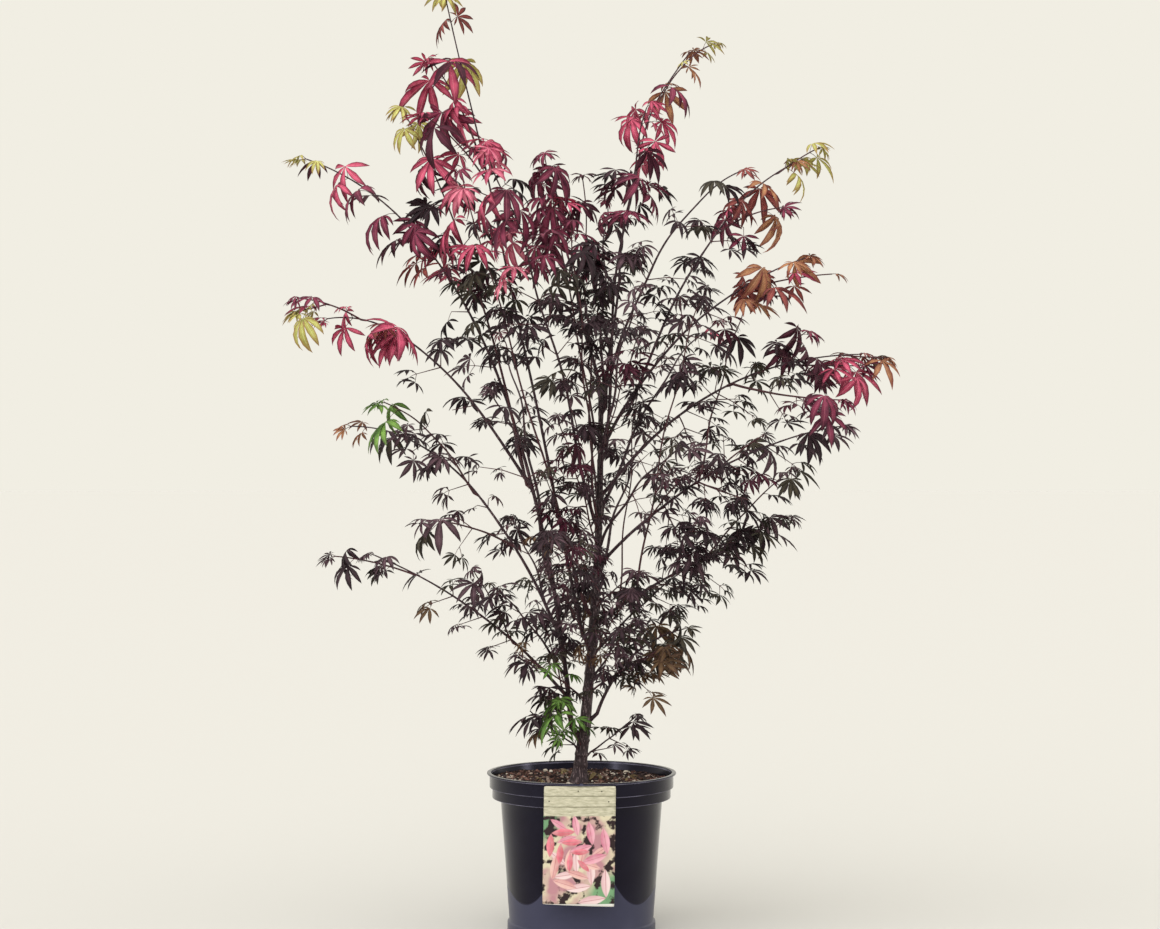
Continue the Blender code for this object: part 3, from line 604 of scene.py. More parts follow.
card_shape = bmesh.new()
stand_up = Matrix.Rotation(math.pi / 2.0, 4, "X")
bmesh.ops.create_grid(card_shape, x_segments=28, y_segments=34, size=0.5, matrix=stand_up)
for corner in card_shape.verts:
    across = corner.co.x * CARD_WIDTH
    down = (0.5 - corner.co.z) * CARD_HEIGHT
    from_side = CARD_WIDTH / 2.0 - abs(across)
    from_end = min(down, CARD_HEIGHT - down)
    if from_side < CARD_CORNER / 2.0 and from_end < CARD_CORNER / 2.0:
        across = math.copysign(CARD_WIDTH / 2.0 - CARD_CORNER * 0.3, across)
        down = min(max(down, CARD_CORNER * 0.3), CARD_HEIGHT - CARD_CORNER * 0.3)
    turn = across / CARD_BEND_RADIUS
    ripple = CARD_RIPPLE * math.sin(across * 70.0 + 1.0) * math.sin(down * 26.0)
    corner.co.x = CARD_CENTRE_X + CARD_BEND_RADIUS * math.sin(turn) - CARD_LEAN * down / CARD_HEIGHT
    corner.co.y = CARD_BEND_RADIUS * (1.0 - math.cos(turn)) - UPPER_BAND_RADIUS - CARD_GAP - abs(ripple)
    corner.co.z = CARD_TOP - down - CARD_TURN * down * across
bmesh.ops.recalc_face_normals(card_shape, faces=card_shape.faces)
card_mesh = mesh_of("picture_card", card_shape)
card_print = Finish("card_print", 0.32, Specular_IOR_Level=0.2)
x, y, z = card_print.place.parts()
across = x - CARD_CENTRE_X
down = CARD_TOP - z
flat = card_print.place.stretched(1.0, 0.0, 1.0)


def printed_leaf(centre_x, centre_down, turn, length, width):
    """The mask of a pointed leaf on the card, from its middle, its turn and its size."""
    away = across - centre_x
    below = down - centre_down
    along = away * math.cos(turn) + below * math.sin(turn)
    beside = below * math.cos(turn) - away * math.sin(turn)
    half = (1.0 - (along * (2.0 / length)) ** 2) * (width / 2.0) - beside.absolute()
    return half.above(0.0004, 0.0012), beside


blur = flat.cloud(30.0, 2.0)
ground = blur.above(0.5, 0.16).blend((0.44, 0.22, 0.25), (0.62, 0.56, 0.4))
from_middle = (across + 0.01) * (down - 0.105) * 1200.0 + blur - 0.5
ground = (from_middle.above(1.35, 0.9) * 0.85).blend(ground, (0.09, 0.29, 0.13))
shadow = flat.cloud(58.0, 3.0).above(0.545, 0.06)
picture = shadow.blend(ground, (0.026, 0.014, 0.016))
mottle = flat.cloud(90.0, 3.0).above(0.5, 0.5)
for (start_x, start_down), (end_x, end_down), length, dark, light in SPRIGS:
    run = Vector((end_x - start_x, end_down - start_down))
    heading = math.atan2(run.y, run.x)
    for index in range(SPRIG_LEAVES * 2 + 1):
        share = (index // 2 + 0.5) / (SPRIG_LEAVES + 0.2)
        side = 1.0 if index % 2 else -1.0
        if index == SPRIG_LEAVES * 2:
            share, side = 1.0, 0.0
        turn = heading + side * 0.85
        size = length * (1.15 - 0.35 * share)
        middle_x = start_x + run.x * share + 0.5 * size * math.cos(turn)
        middle_down = start_down + run.y * share + 0.5 * size * math.sin(turn)
        mask, beside = printed_leaf(middle_x, middle_down, turn, size, size * 0.34)
        tone = (beside * (side * 120.0) + 0.5 + index % 3 * 0.12).clamped().blend(dark, light)
        rib = beside.absolute().above(0.0004, 0.0006)
        tone = rib.blend((0.42, 0.11, 0.14), tone)
        tone = (mottle * 0.4).blend(tone, (0.76, 0.6, 0.58))
        picture = mask.blend(picture, tone)
grain = card_print.place.stretched(0.16, 0.0, 1.0).cloud(520.0, 4.0, 0.65)
planks = grain.above(0.5, 0.5).blend((0.27, 0.255, 0.165), (0.7, 0.665, 0.52))
for plank_down in PLANK_JOINTS:
    joint = (down - plank_down).absolute().above(0.0005, 0.001)
    planks = joint.blend((0.11, 0.11, 0.06), planks)
for nail_x, nail_down in NAILS:
    spot = ((across - nail_x) ** 2 + (down - nail_down) ** 2).above(0.0000011, 0.0000012)
    planks = spot.blend((0.06, 0.055, 0.04), planks)
art = down.above(PLANK_STRIP, 0.0003).blend(planks, picture)
art = down.above(CARD_HEIGHT - WHITE_FOOT, 0.0003).blend(art, (0.85, 0.84, 0.8))
inward = y + UPPER_BAND_RADIUS + 0.0009 - across * across * (0.5 / CARD_BEND_RADIUS)
white_back = inward.above(0.0006, 0.0002)
card_print.paint(
    Base_Color=white_back.blend(art, (0.78, 0.77, 0.74)),
    Roughness=0.3 + card_print.place.cloud(30.0) * 0.14,
    Normal=card_print.place.cloud(40.0, 2.0).bump(0.0004, 0.4),
)
card = add_piece("picture_card", card_mesh, card_print, "printed_card", "label")
thickness = card.modifiers.new("thickness", "SOLIDIFY")
thickness.thickness = CARD_THICKNESS
thickness.offset = 1.0


# ---- Wood ----
# A short trunk with blunt root ridges divides into many whips, each one long tapering arc. Young bark,
# smooth and dark purple-brown, with pale streaks that are in part painted highlight, and a swollen ring
# at every pair of buds.

UP = Vector((0.0, 0.0, 1.0))
TRUNK_TOP = Vector((0.028, 0.0, 0.8))
TRUNK_ARC = (1.1, 0.5)
TRUNK_WAVE = 0.005
TRUNK_WAVES = 3
TRUNK_POINTS = 190
TRUNK_RADIUS = 0.01
TRUNK_TOP_RADIUS = 0.0034
TRUNK_SIDES = 22
FLARE = 0.52
FLARE_HEIGHT = 0.014
FLARE_ROOTS = 4
FLARE_LOBE = 0.22
FLARE_TURN = 0.6
POINT_SPACING = 0.006
WAVE_SHARE = 0.007
WAVES = 5
TIP_RADIUS = 0.0009
WHIP_SIDES = 8
COLLAR = 1.5
COLLAR_SWELL = 0.55
COLLAR_LENGTH = 0.01
NODE_SPACING = 0.04
FIRST_NODE = 0.05  # of a limb's length
THINNING = 0.7
NODE_SWELL = 0.16
NODE_LENGTH = 0.0022
BARK_RELIEF = 0.09  # of a limb's radius

# A whip leaves its parent at a share of the parent's length and ends at its tip. Bare is the share of it
# below the foliage, spread is the longest side twig, leaf is the length of a large leaf, and full is how
# closely its twigs stand. Its tints are those inside, outside and at the end. Across and up say where its
# arc turns, as shares of its run and of its rise, and root is its radius there.
BLACK_PLUM = "purple_black purple_black plum"
BLACK_WINE = "purple_black purple_black wine"
OLIVE_PLUM = "olive_black purple_black plum"
OLIVE_INSIDE = "olive_black purple_black purple_black"
MULBERRY_OUTSIDE = "purple_black mulberry plum"
WINE_OUTSIDE = "purple_black wine wine"
WHIP_COLUMNS = "name parent leaves_at tip bare spread leaf full tints across up root"
Whip = namedtuple("Whip", WHIP_COLUMNS, defaults=(0.5, 0.6, 0.0016))
WHIPS = [Whip(*row) for row in (
    ("left_stem", "trunk", 0.11, (-0.41, 0.02, 1.145), 0.45, 0.07, 0.086, 0.85,
     "purple_black wine lime", 0.18, 0.87, 0.0042),
    ("right_stem", "trunk", 0.15, (0.15, -0.05, 0.45), 0.36, 0.07, 0.075, 1.3,
     "olive_black brown olive_black", 0.29, 0.82, 0.0032),
    ("low_left", "left_stem", 0.07, (-0.305, -0.07, 0.56), 0.3, 0.055, 0.065, 0.8,
     OLIVE_PLUM, 0.42, 0.67, 0.0026),
    ("left", "left_stem", 0.17, (-0.35, 0.09, 0.748), 0.34, 0.06, 0.072, 0.8,
     "purple_black purple_black bronze", 0.42, 1.0, 0.0028),
    ("left_mid", "left_stem", 0.39, (-0.365, -0.1, 0.9), 0.3, 0.055, 0.09, 0.55,
     "purple_black crimson crimson", 0.55, 1.11, 0.0026),
    ("back_low", "left_stem", 0.12, (-0.115, 0.28, 0.605), 0.36, 0.08, 0.066, 0.8,
     OLIVE_INSIDE, 0.5, 0.75, 0.0026),
    ("back_left", "left_stem", 0.31, (-0.132, 0.345, 0.902), 0.36, 0.085, 0.062, 0.25,
     BLACK_WINE, 0.5, 0.75, 0.0026),
    ("front_left", "left_stem", 0.23, (-0.122, -0.35, 0.79), 0.36, 0.085, 0.056, 0.28,
     BLACK_PLUM, 0.5, 0.8, 0.0026),
    ("top_left", "trunk", 0.35, (-0.199, -0.03, 1.372), 0.5, 0.085, 0.096, 0.62,
     "purple_black crimson lime", 0.55, 0.6, 0.003),
    ("low_right", "trunk", 0.4, (0.31, 0.06, 0.61), 0.24, 0.08, 0.07, 1.7, OLIVE_PLUM, 0.5, 0.6, 0.0028),
    ("front_low", "trunk", 0.45, (-0.045, -0.29, 0.6), 0.34, 0.08, 0.056, 1.2,
     OLIVE_INSIDE, 0.5, 0.7, 0.0026),
    ("back", "trunk", 0.5, (0.112, 0.355, 0.742), 0.4, 0.085, 0.064, 0.8, OLIVE_PLUM, 0.5, 0.75, 0.0028),
    ("right_low", "trunk", 0.55, (0.372, -0.12, 0.745), 0.4, 0.08, 0.08, 0.9, BLACK_PLUM, 0.46, 0.85, 0.0028),
    ("front_right", "trunk", 0.59, (0.151, -0.335, 0.72), 0.36, 0.08, 0.056, 0.6,
     "purple_black olive_black plum", 0.45, 0.8, 0.0026),
    ("front_top", "trunk", 0.65, (-0.13, -0.21, 1.12), 0.4, 0.09, 0.092, 1.0,
     "purple_black crimson rose", 0.55, 0.75, 0.0028),
    ("back_right", "trunk", 0.69, (0.22, 0.3, 0.92), 0.36, 0.085, 0.064, 0.4, BLACK_WINE, 0.5, 0.8, 0.0028),
    ("right_mid", "trunk", 0.73, (0.415, 0.04, 0.855), 0.38, 0.075, 0.084, 0.85,
     "purple_black wine red_brown", 0.39, 0.97, 0.0028),
    ("front", "trunk", 0.78, (0.08, -0.355, 0.93), 0.36, 0.085, 0.056, 0.5, BLACK_PLUM, 0.5, 0.8, 0.0026),
    ("shoot", "trunk", 0.82, (0.165, 0.11, 1.318), 0.36, 0.065, 0.086, 0.7,
     "purple_black wine bronze", 0.1, 0.8, 0.0028),
    ("right", "trunk", 0.86, (0.325, -0.07, 0.99), 0.36, 0.075, 0.086, 0.9,
     "purple_black red_brown bronze", 0.36, 0.76, 0.0028),
    ("back_top", "trunk", 0.9, (0.04, 0.26, 1.11), 0.3, 0.09, 0.066, 0.4, BLACK_WINE, 0.5, 0.7, 0.0028),
    ("top_right", "trunk", 0.94, (0.095, -0.06, 1.21), 0.28, 0.08, 0.09, 0.8,
     "purple_black wine crimson", 0.4, 0.66, 0.0028),
    ("right_high", "right", 0.16, (0.33, 0.08, 1.15), 0.34, 0.075, 0.088, 0.7,
     "purple_black red_brown lime", 0.44, 0.83, 0.0025),
    ("right_top", "top_right", 0.12, (0.225, -0.16, 1.105), 0.34, 0.08, 0.07, 0.5,
     "purple_black purple_black red_brown", 0.37, 0.83, 0.0025),
    ("top", "trunk", 1.0, (-0.045, 0.05, 1.13), 0.0, 0.09, 0.092, 0.8, WINE_OUTSIDE, 0.6, 0.5, 0.0032),
    ("low_front", "trunk", 0.24, (0.075, -0.17, 0.47), 0.0, 0.07, 0.056, 1.4, OLIVE_INSIDE, 0.5, 0.6, 0.0022),
    ("low_back", "trunk", 0.28, (-0.01, 0.19, 0.5), 0.0, 0.07, 0.064, 1.4, OLIVE_INSIDE, 0.5, 0.6, 0.0022),
    ("inner_right", "trunk", 0.32, (0.17, 0.11, 0.54), 0.0, 0.07, 0.066, 1.0, OLIVE_INSIDE, 0.5, 0.6, 0.0022),
    ("inner_left", "left_stem", 0.1, (-0.13, -0.13, 0.52), 0.0, 0.06, 0.056, 0.7,
     "olive_black purple_black olive_black", 0.5, 0.65, 0.0022),
    ("low_twig_left", "trunk", 0.075, (-0.075, -0.05, 0.33), 0.0, 0.04, 0.062, 1.4,
     "olive_black olive_black purple_black", 0.6, 0.5, 0.0016),
    ("low_twig_right", "trunk", 0.05, (0.08, 0.06, 0.31), 0.0, 0.04, 0.058, 1.0,
     BLACK_PLUM, 0.6, 0.5, 0.0016),
)]

# Thin shoots among the whips, written the same way.
SHOOTS = [Whip(*row) for row in (
    ("second_left", "left_stem", 0.38, (-0.261, -0.02, 1.209), 0.52, 0.045, 0.096, 0.7,
     "purple_black crimson lime", 0.35, 0.6, 0.0024),
    ("second_top", "trunk", 0.42, (-0.173, -0.09, 1.108), 0.62, 0.045, 0.092, 0.8,
     "purple_black crimson wine", 0.5, 0.5, 0.0026),
    ("inner_top", "trunk", 0.62, (0.002, 0.06, 1.119), 0.4, 0.05, 0.08, 0.4,
     "purple_black purple_black mulberry", 0.55, 0.5, 0.0022),
    ("front_crown", "trunk", 0.66, (-0.014, -0.12, 1.033), 0.4, 0.05, 0.086, 0.4,
     BLACK_WINE, 0.5, 0.5, 0.0022),
    ("fan_front", "low_right", 0.2, (0.171, -0.1, 0.927), 0.3, 0.045, 0.066, 0.5,
     "purple_black purple_black purple_black", 0.4, 0.6, 0.002),
    ("fan_back", "low_right", 0.1, (0.089, 0.1, 0.864), 0.4, 0.045, 0.066, 0.6, BLACK_PLUM, 0.6, 0.5, 0.002),
    ("fan_right", "right_low", 0.45, (0.25, 0.12, 0.934), 0.3, 0.05, 0.07, 0.4,
     "purple_black purple_black bronze", 0.45, 0.6, 0.002),
    ("far_right", "right_mid", 0.55, (0.365, -0.14, 0.782), 0.3, 0.05, 0.084, 0.7,
     WINE_OUTSIDE, 0.45, 0.8, 0.0022),
    ("green_left", "left", 0.5, (-0.286, -0.06, 0.78), 0.3, 0.045, 0.092, 0.7,
     "purple_black purple_black green", 0.45, 0.8, 0.0018),
    ("hung_left", "left", 0.3, (-0.225, -0.1, 0.61), 0.35, 0.045, 0.078, 0.5, OLIVE_PLUM, 0.5, 0.9, 0.0018),
    ("tip_left", "left_mid", 0.86, (-0.403, -0.12, 0.928), 0.1, 0.01, 0.06, 0.7,
     "wine wine wine", 0.5, 0.9, 0.0015),
    ("centre_left", "trunk", 0.2, (-0.089, -0.1, 0.416), 0.3, 0.05, 0.056, 1.1, OLIVE_PLUM, 0.5, 0.6, 0.0018),
    ("centre_right", "trunk", 0.22, (0.118, -0.12, 0.427), 0.25, 0.055, 0.078, 1.2,
     "olive_black olive_black brown", 0.5, 0.6, 0.0018),
    ("tip_right", "right", 0.72, (0.367, -0.04, 0.969), 0.15, 0.02, 0.08, 0.8,
     "red_brown crimson bronze", 0.45, 0.8, 0.0015),
    ("tip_high", "right_high", 0.62, (0.293, 0.02, 1.072), 0.15, 0.03, 0.086, 0.6,
     "wine red_brown wine", 0.45, 0.85, 0.0015),
    ("tip_shoot", "shoot", 0.82, (0.203, 0.12, 1.334), 0.2, 0.01, 0.05, 1.0,
     "bronze lime lime", 0.45, 0.8, 0.0013),
    ("column_a", "trunk", 0.6, (-0.034, -0.11, 0.757), 0.1, 0.05, 0.056, 1.6, MULBERRY_OUTSIDE),
    ("column_b", "trunk", 0.5, (-0.048, -0.09, 0.632), 0.1, 0.055, 0.056, 1.7,
     "purple_black mulberry purple_black"),
    ("column_c", "trunk", 0.44, (0.084, -0.1, 0.535), 0.1, 0.06, 0.056, 1.5, OLIVE_PLUM),
    ("column_d", "trunk", 0.33, (-0.034, -0.08, 0.515), 0.1, 0.055, 0.056, 1.4, OLIVE_PLUM),
    ("column_e", "low_right", 0.4, (0.17, -0.12, 0.611), 0.15, 0.06, 0.07, 1.3, BLACK_PLUM, 0.5, 0.7, 0.0016),
    ("column_f", "trunk", 0.12, (-0.053, -0.06, 0.362), 0.2, 0.045, 0.056, 1.8,
     "olive_black olive_black purple_black", 0.5, 0.6, 0.0014),
    ("column_g", "right_low", 0.3, (0.158, -0.06, 0.551), 0.15, 0.055, 0.062, 1.5, BLACK_PLUM),
    ("column_h", "right_mid", 0.35, (0.189, 0.08, 0.682), 0.15, 0.055, 0.062, 1.3, MULBERRY_OUTSIDE),
    ("right_fill", "right_low", 0.45, (0.24, -0.1, 0.639), 0.12, 0.055, 0.066, 1.6, BLACK_PLUM),
    ("right_fill_low", "low_right", 0.55, (0.314, 0.06, 0.682), 0.12, 0.045, 0.066, 1.0, BLACK_PLUM),
    ("crown_mid", "trunk", 0.88, (-0.054, 0.02, 1.144), 0.72, 0.03, 0.092, 0.8,
     WINE_OUTSIDE, 0.5, 0.5, 0.002),
    ("column_i", "trunk", 0.84, (0.085, -0.08, 0.882), 0.15, 0.05, 0.062, 1.5, MULBERRY_OUTSIDE),
    ("column_j", "trunk", 0.64, (-0.022, -0.09, 0.8), 0.2, 0.05, 0.06, 1.4, BLACK_PLUM),
    ("column_k", "trunk", 0.42, (-0.053, -0.07, 0.676), 0.25, 0.055, 0.06, 1.6,
     "purple_black purple_black mulberry"),
    ("column_l", "right_low", 0.22, (0.146, -0.06, 0.67), 0.2, 0.05, 0.066, 1.5, BLACK_PLUM),
    ("right_fill_top", "right_low", 0.5, (0.261, -0.08, 0.731), 0.25, 0.045, 0.07, 1.5, BLACK_PLUM),
    ("mass_right", "right_mid", 0.66, (0.328, 0.0, 0.883), 0.3, 0.04, 0.088, 1.3,
     "purple_black mulberry wine", 0.5, 0.7, 0.0016),
    ("mass_far", "right_mid", 0.74, (0.412, 0.02, 0.837), 0.2, 0.04, 0.086, 1.2,
     "mulberry wine wine", 0.5, 0.9, 0.0016),
    ("tip_mid", "right_mid", 0.93, (0.45, 0.04, 0.85), 0.2, 0.01, 0.06, 0.9,
     "bronze brown bronze", 0.5, 0.8, 0.0013),
    ("left_fill", "low_left", 0.3, (-0.155, -0.09, 0.535), 0.3, 0.05, 0.066, 1.1, BLACK_PLUM),
    ("tip_low", "low_left", 0.8, (-0.356, -0.08, 0.557), 0.15, 0.02, 0.07, 0.8, BLACK_PLUM, 0.5, 0.8, 0.0015),
    ("column_m", "trunk", 0.3, (0.069, -0.12, 0.507), 0.2, 0.06, 0.062, 1.3, OLIVE_PLUM),
    ("column_n", "trunk", 0.34, (0.022, 0.06, 0.528), 0.2, 0.055, 0.062, 1.4, BLACK_PLUM),
    ("column_o", "left_stem", 0.06, (-0.064, -0.05, 0.486), 0.2, 0.05, 0.06, 1.2, OLIVE_PLUM),
    ("top_crimson", "top_left", 0.74, (-0.217, -0.03, 1.278), 0.45, 0.01, 0.104, 0.6,
     "crimson crimson crimson", 0.35, 0.6, 0.0018),
    ("side_crimson", "left_mid", 0.7, (-0.279, -0.1, 0.887), 0.3, 0.01, 0.11, 0.9,
     "crimson crimson red_brown", 0.5, 0.8, 0.0016),
    ("tip_lime", "tip_left", 0.55, (-0.399, -0.12, 0.911), 0.4, 0.01, 0.07, 1.0,
     "lime lime lime", 0.5, 0.6, 0.0012),
    ("green_low", "trunk", 0.085, (-0.03, -0.07, 0.342), 0.55, 0.01, 0.08, 1.0,
     "green green green", 0.5, 0.6, 0.0014),
    ("tip_lime_right", "right_high", 0.9, (0.358, 0.08, 1.169), 0.3, 0.01, 0.07, 1.0,
     "bronze lime lime", 0.5, 0.6, 0.0012),
    ("side_shoot", "top_left", 0.72, (-0.224, -0.05, 1.196), 0.2, 0.02, 0.098, 0.8,
     "crimson wine crimson", 0.5, 0.7, 0.0016),
)]


def arc(start, tip, across, up, wave, waves, count):
    """Points of a limb's arc from start to tip, swaying a little to its sides."""
    run = Vector((tip.x - start.x, tip.y - start.y, 0.0))
    rise = UP * (tip.z - start.z)
    turn = start + run * across + rise * up
    side = run.cross(UP).normalized()
    points = []
    for index in range(count + 1):
        t = index / count
        point = start * (1.0 - t) ** 2 + turn * (2.0 * t * (1.0 - t)) + tip * t**2
        points.append(point + side * wave * math.sin(waves * math.pi * t))
    return points


class Limb:
    """A limb's line, with the length from its foot to each point, and its radius at each."""

    def __init__(self, points, root, tip):
        self.points = points
        steps = [(second - first).length for first, second in zip(points, points[1:])]
        self.lengths = np.concatenate(([0.0], np.cumsum(steps)))
        self.radii = root + (tip - root) * (self.lengths / self.lengths[-1]) ** THINNING

    def place(self, share):
        """The place and the direction of the limb at a share of its length."""
        wanted = share * self.lengths[-1]
        index = min(max(int(np.searchsorted(self.lengths, wanted)) - 1, 0), len(self.points) - 2)
        step = self.points[index + 1] - self.points[index]
        part = (wanted - self.lengths[index]) / step.length
        return self.points[index] + step * part, step.normalized()

    def radius(self, share):
        return float(np.interp(share * self.lengths[-1], self.lengths, self.radii))


def whip_limb(whip, limbs):
    """The whip's whole arc, from inside its parent or from the parent's end."""
    parent = limbs[whip.parent]
    anchor, direction = parent.place(whip.leaves_at)
    tip = Vector(whip.tip)
    if whip.leaves_at == 1.0:
        turned_in = [anchor - direction * POINT_SPACING]
        start = anchor
    else:
        outward = Vector((tip.x - anchor.x, tip.y - anchor.y, 0.0)).normalized()
        start = anchor + (outward + direction) * COLLAR * (parent.radius(whip.leaves_at) + whip.root)
        turned_in = [anchor, anchor.lerp(start, 0.33), anchor.lerp(start, 0.67)]
    reach = (tip - start).length
    bend = arc(start, tip, whip.across, whip.up, WAVE_SHARE * reach, WAVES, round(reach / POINT_SPACING))
    return Limb(turned_in + bend, whip.root, TIP_RADIUS)


def draw_limb(limb, sides, nodes, collar):
    """A limb's bark: a ring carried along its line, swollen at its foot and its nodes, closed at its tip."""
    shape = bmesh.new()
    bmesh.ops.create_circle(shape, segments=sides, radius=1.0, cap_ends=True)
    edges, corners = shape.edges[:], shape.verts[:]
    heading = UP.rotation_difference(limb.points[1] - limb.points[0])
    last = Matrix.Identity(4)
    for index, (point, length, radius) in enumerate(zip(limb.points, limb.lengths, limb.radii)):
        if index:
            made = bmesh.ops.extrude_edge_only(shape, edges=edges)["geom"]
            edges = [found for found in made if isinstance(found, bmesh.types.BMEdge)]
            corners = [found for found in made if isinstance(found, bmesh.types.BMVert)]
            edges = [edge for edge in edges if all(corner in corners for corner in edge.verts)]
        ahead = limb.points[min(index + 1, len(limb.points) - 1)] - limb.points[max(index - 1, 0)]
        heading = (heading @ UP).rotation_difference(ahead) @ heading
        swell = 1.0 + collar * math.exp(-length / COLLAR_LENGTH)
        swell += sum(NODE_SWELL * math.exp(-(((length - node) / NODE_LENGTH) ** 2)) for node in nodes)
        ring = Matrix.LocRotScale(point, heading, Vector((1.0, 1.0, 1.0)) * radius * swell)
        bmesh.ops.transform(shape, matrix=ring @ last.inverted(), verts=corners)
        last = ring
    bmesh.ops.contextual_create(shape, geom=edges)
    bmesh.ops.recalc_face_normals(shape, faces=shape.faces)
    shape.normal_update()
    tallest = max(limb.radii)
    for corner in shape.verts:
        ridges = noise.noise(Vector((corner.co.x * 260.0, corner.co.y * 260.0, corner.co.z * 40.0)))
        corner.co += corner.normal * (tallest * BARK_RELIEF * ridges * min(1.0, tallest / 0.006))
    return shape


trunk_line = arc(TRUNK_FOOT, TRUNK_TOP, *TRUNK_ARC, TRUNK_WAVE, TRUNK_WAVES, TRUNK_POINTS)
limbs = {"trunk": Limb(trunk_line, TRUNK_RADIUS, TRUNK_TOP_RADIUS)}
for whip in WHIPS + SHOOTS:
    limbs[whip.name] = whip_limb(whip, limbs)

trunk_nodes = [whip.leaves_at * limbs["trunk"].lengths[-1] for whip in WHIPS if whip.parent == "trunk"]
trunk_shape = draw_limb(limbs["trunk"], TRUNK_SIDES, trunk_nodes, 0.0)
for corner in trunk_shape.verts:
    height = corner.co.z - TRUNK_FOOT.z
    out = Vector((corner.co.x - TRUNK_FOOT.x, corner.co.y - TRUNK_FOOT.y, 0.0))
    ridge = 1.0 + FLARE_LOBE * math.cos(FLARE_ROOTS * math.atan2(out.y, out.x) + FLARE_TURN)
    ridge += 0.25 * noise.noise(corner.co * 120.0)
    corner.co += out * (FLARE * ridge * math.exp(-max(height, 0.0) / FLARE_HEIGHT))

whips_shape = bmesh.new()
for whip in WHIPS:
    limb = limbs[whip.name]
    reach = limb.lengths[-1]
    nodes = np.arange(FIRST_NODE * reach, reach, NODE_SPACING)
    grown = mesh_of("whip", draw_limb(limb, WHIP_SIDES, nodes, COLLAR_SWELL))
    whips_shape.from_mesh(grown)
    bpy.data.meshes.remove(grown)


def bark_finish(name, dark, light, streak):
    """Smooth young bark: tones that run along it, pale streaks in part painted highlight, and small corky
    dots.
    """
    bark = Finish(name, 0.62, Specular_IOR_Level=0.3)
    along = bark.place.stretched(1.0, 1.0, 0.12)
    tone = along.cloud(210.0, 4.0, 0.6)
    # Pale streaks along the bark, in part a painted highlight.
    streaks = along.cloud(520.0, 3.0, 0.6).above(0.6, 0.1)
    dots = 1.0 - bark.place.stretched(1.0, 1.0, 0.5).cells(330.0).above(0.24, 0.12)
    colour = tone.above(0.5, 0.5).blend(dark, light)
    colour = (streaks * 0.7 + dots * 0.4).clamped().blend(colour, streak)
    bark.paint(
        Base_Color=colour,
        Roughness=0.55 + tone * 0.2,
        Normal=(tone + dots * 0.6 + streaks * 0.4).bump(0.0006, 0.8),
    )
    return bark


# The trunk's pale streak tone is in part a painted highlight.
trunk_bark = bark_finish("trunk_bark", (0.017, 0.009, 0.012), (0.06, 0.036, 0.04), (0.33, 0.24, 0.25))
add_piece("trunk_bark", mesh_of("trunk_bark", trunk_shape), trunk_bark, "bark", "trunk")
whip_bark = bark_finish("whip_bark", (0.014, 0.006, 0.01), (0.052, 0.022, 0.03), (0.17, 0.095, 0.11))
boughs = [name for name in frame["nodes"] if name.startswith("bough_")]
add_piece("whip_bark", mesh_of("whip_bark", whips_shape), whip_bark, "bark", *boughs)


# ---- Twigs and leaves ----
# Side twigs stand in crossed pairs along each whip. Each carries opposite pairs of leaves on thin stalks and
# one leaf at its end. A leaf has five or seven lobes, cut almost to its stalk, with long hanging points.

FORK_ANGLE = math.radians(52.0)
TWIG_RADIUS = 0.0009
TWIG_TIP_RADIUS = 0.0005
STALK_RADIUS = 0.00042
TWIG_SHARES = (0.35, 1.0)
TWIG_SWING = 0.6
TWIG_SAG = 0.18
SHORTEST_TWIG = 0.01
BARE_MARGIN = 0.04  # how far below the end of its bare share a whip's twigs begin
LEAST_BARE = 0.06
TIP_LEAVES = 3
LEAF_SPACING = 0.03  # between the leaf pairs of a twig
STALK_SHARES = (0.25, 0.5)  # of the leaf's length
STALK_FORK = math.radians(58.0)
STALK_SAG = 0.22
STALK_ARCH = 0.08
LEAF_MIDDLE = Vector((0.45, 0.0, -0.05))  # of a leaf as long as 1
# Up a mass, from its foot to its tip, twigs grow shorter until the leaves stand on the whip itself. Leaves
# are small inside, largest near the end, and small again at the young tip.
UP_MASS = (0.0, 0.45, 0.62, 0.72, 0.86, 1.0)
TWIG_PROFILE = (1.0, 0.8, 0.45, 0.1, 0.0, 0.0)
LEAF_PROFILE = (0.36, 0.38, 0.52, 0.68, 0.62, 0.32)
LEAF_SWING = (0.8, 1.2)
LARGE_LEAF = 0.045
SMALL_HANG = (-0.1, 0.6)
LARGE_HANG = (0.3, 1.5)
SMALL_ARCH = (0.3, 1.0)
LARGE_ARCH = (0.7, 1.8)
ROLL = 0.35
LEAF_ROOM = 0.009  # between the middles of two leaves
LIMB_ROOM = 0.003
LOWEST_LEAF = 0.252
LEAF_PATTERNS = 10
# X, Y and length of the dry leaves on the soil.
FALLEN_LEAVES = ((0.022, 0.056, 0.034), (-0.062, -0.02, 0.024), (0.07, 0.02, 0.022), (-0.03, 0.085, 0.026))
FALLEN_RISE = 0.006
FALLEN_ARCH = 1.2
LOBE_ROWS = 6
# How far along a lobe, and how wide it is there to each side, for each of its rows.
LOBE_OUTLINE = ((0, 0), (0.14, 0.044), (0.31, 0.084), (0.5, 0.106), (0.7, 0.084), (0.87, 0.04), (1.0, 0))
# Each lobe's degrees from the middle, and its reach as a share of the middle lobe's.
SEVEN_LOBES = ((0, 1.0), (36, 0.94), (-36, 0.94), (73, 0.74), (-73, 0.74), (116, 0.42), (-116, 0.42))
FIVE_LOBES = ((0, 1.0), (44, 0.92), (-44, 0.92), (94, 0.7), (-94, 0.7))
LOBE_FOLD = 0.45

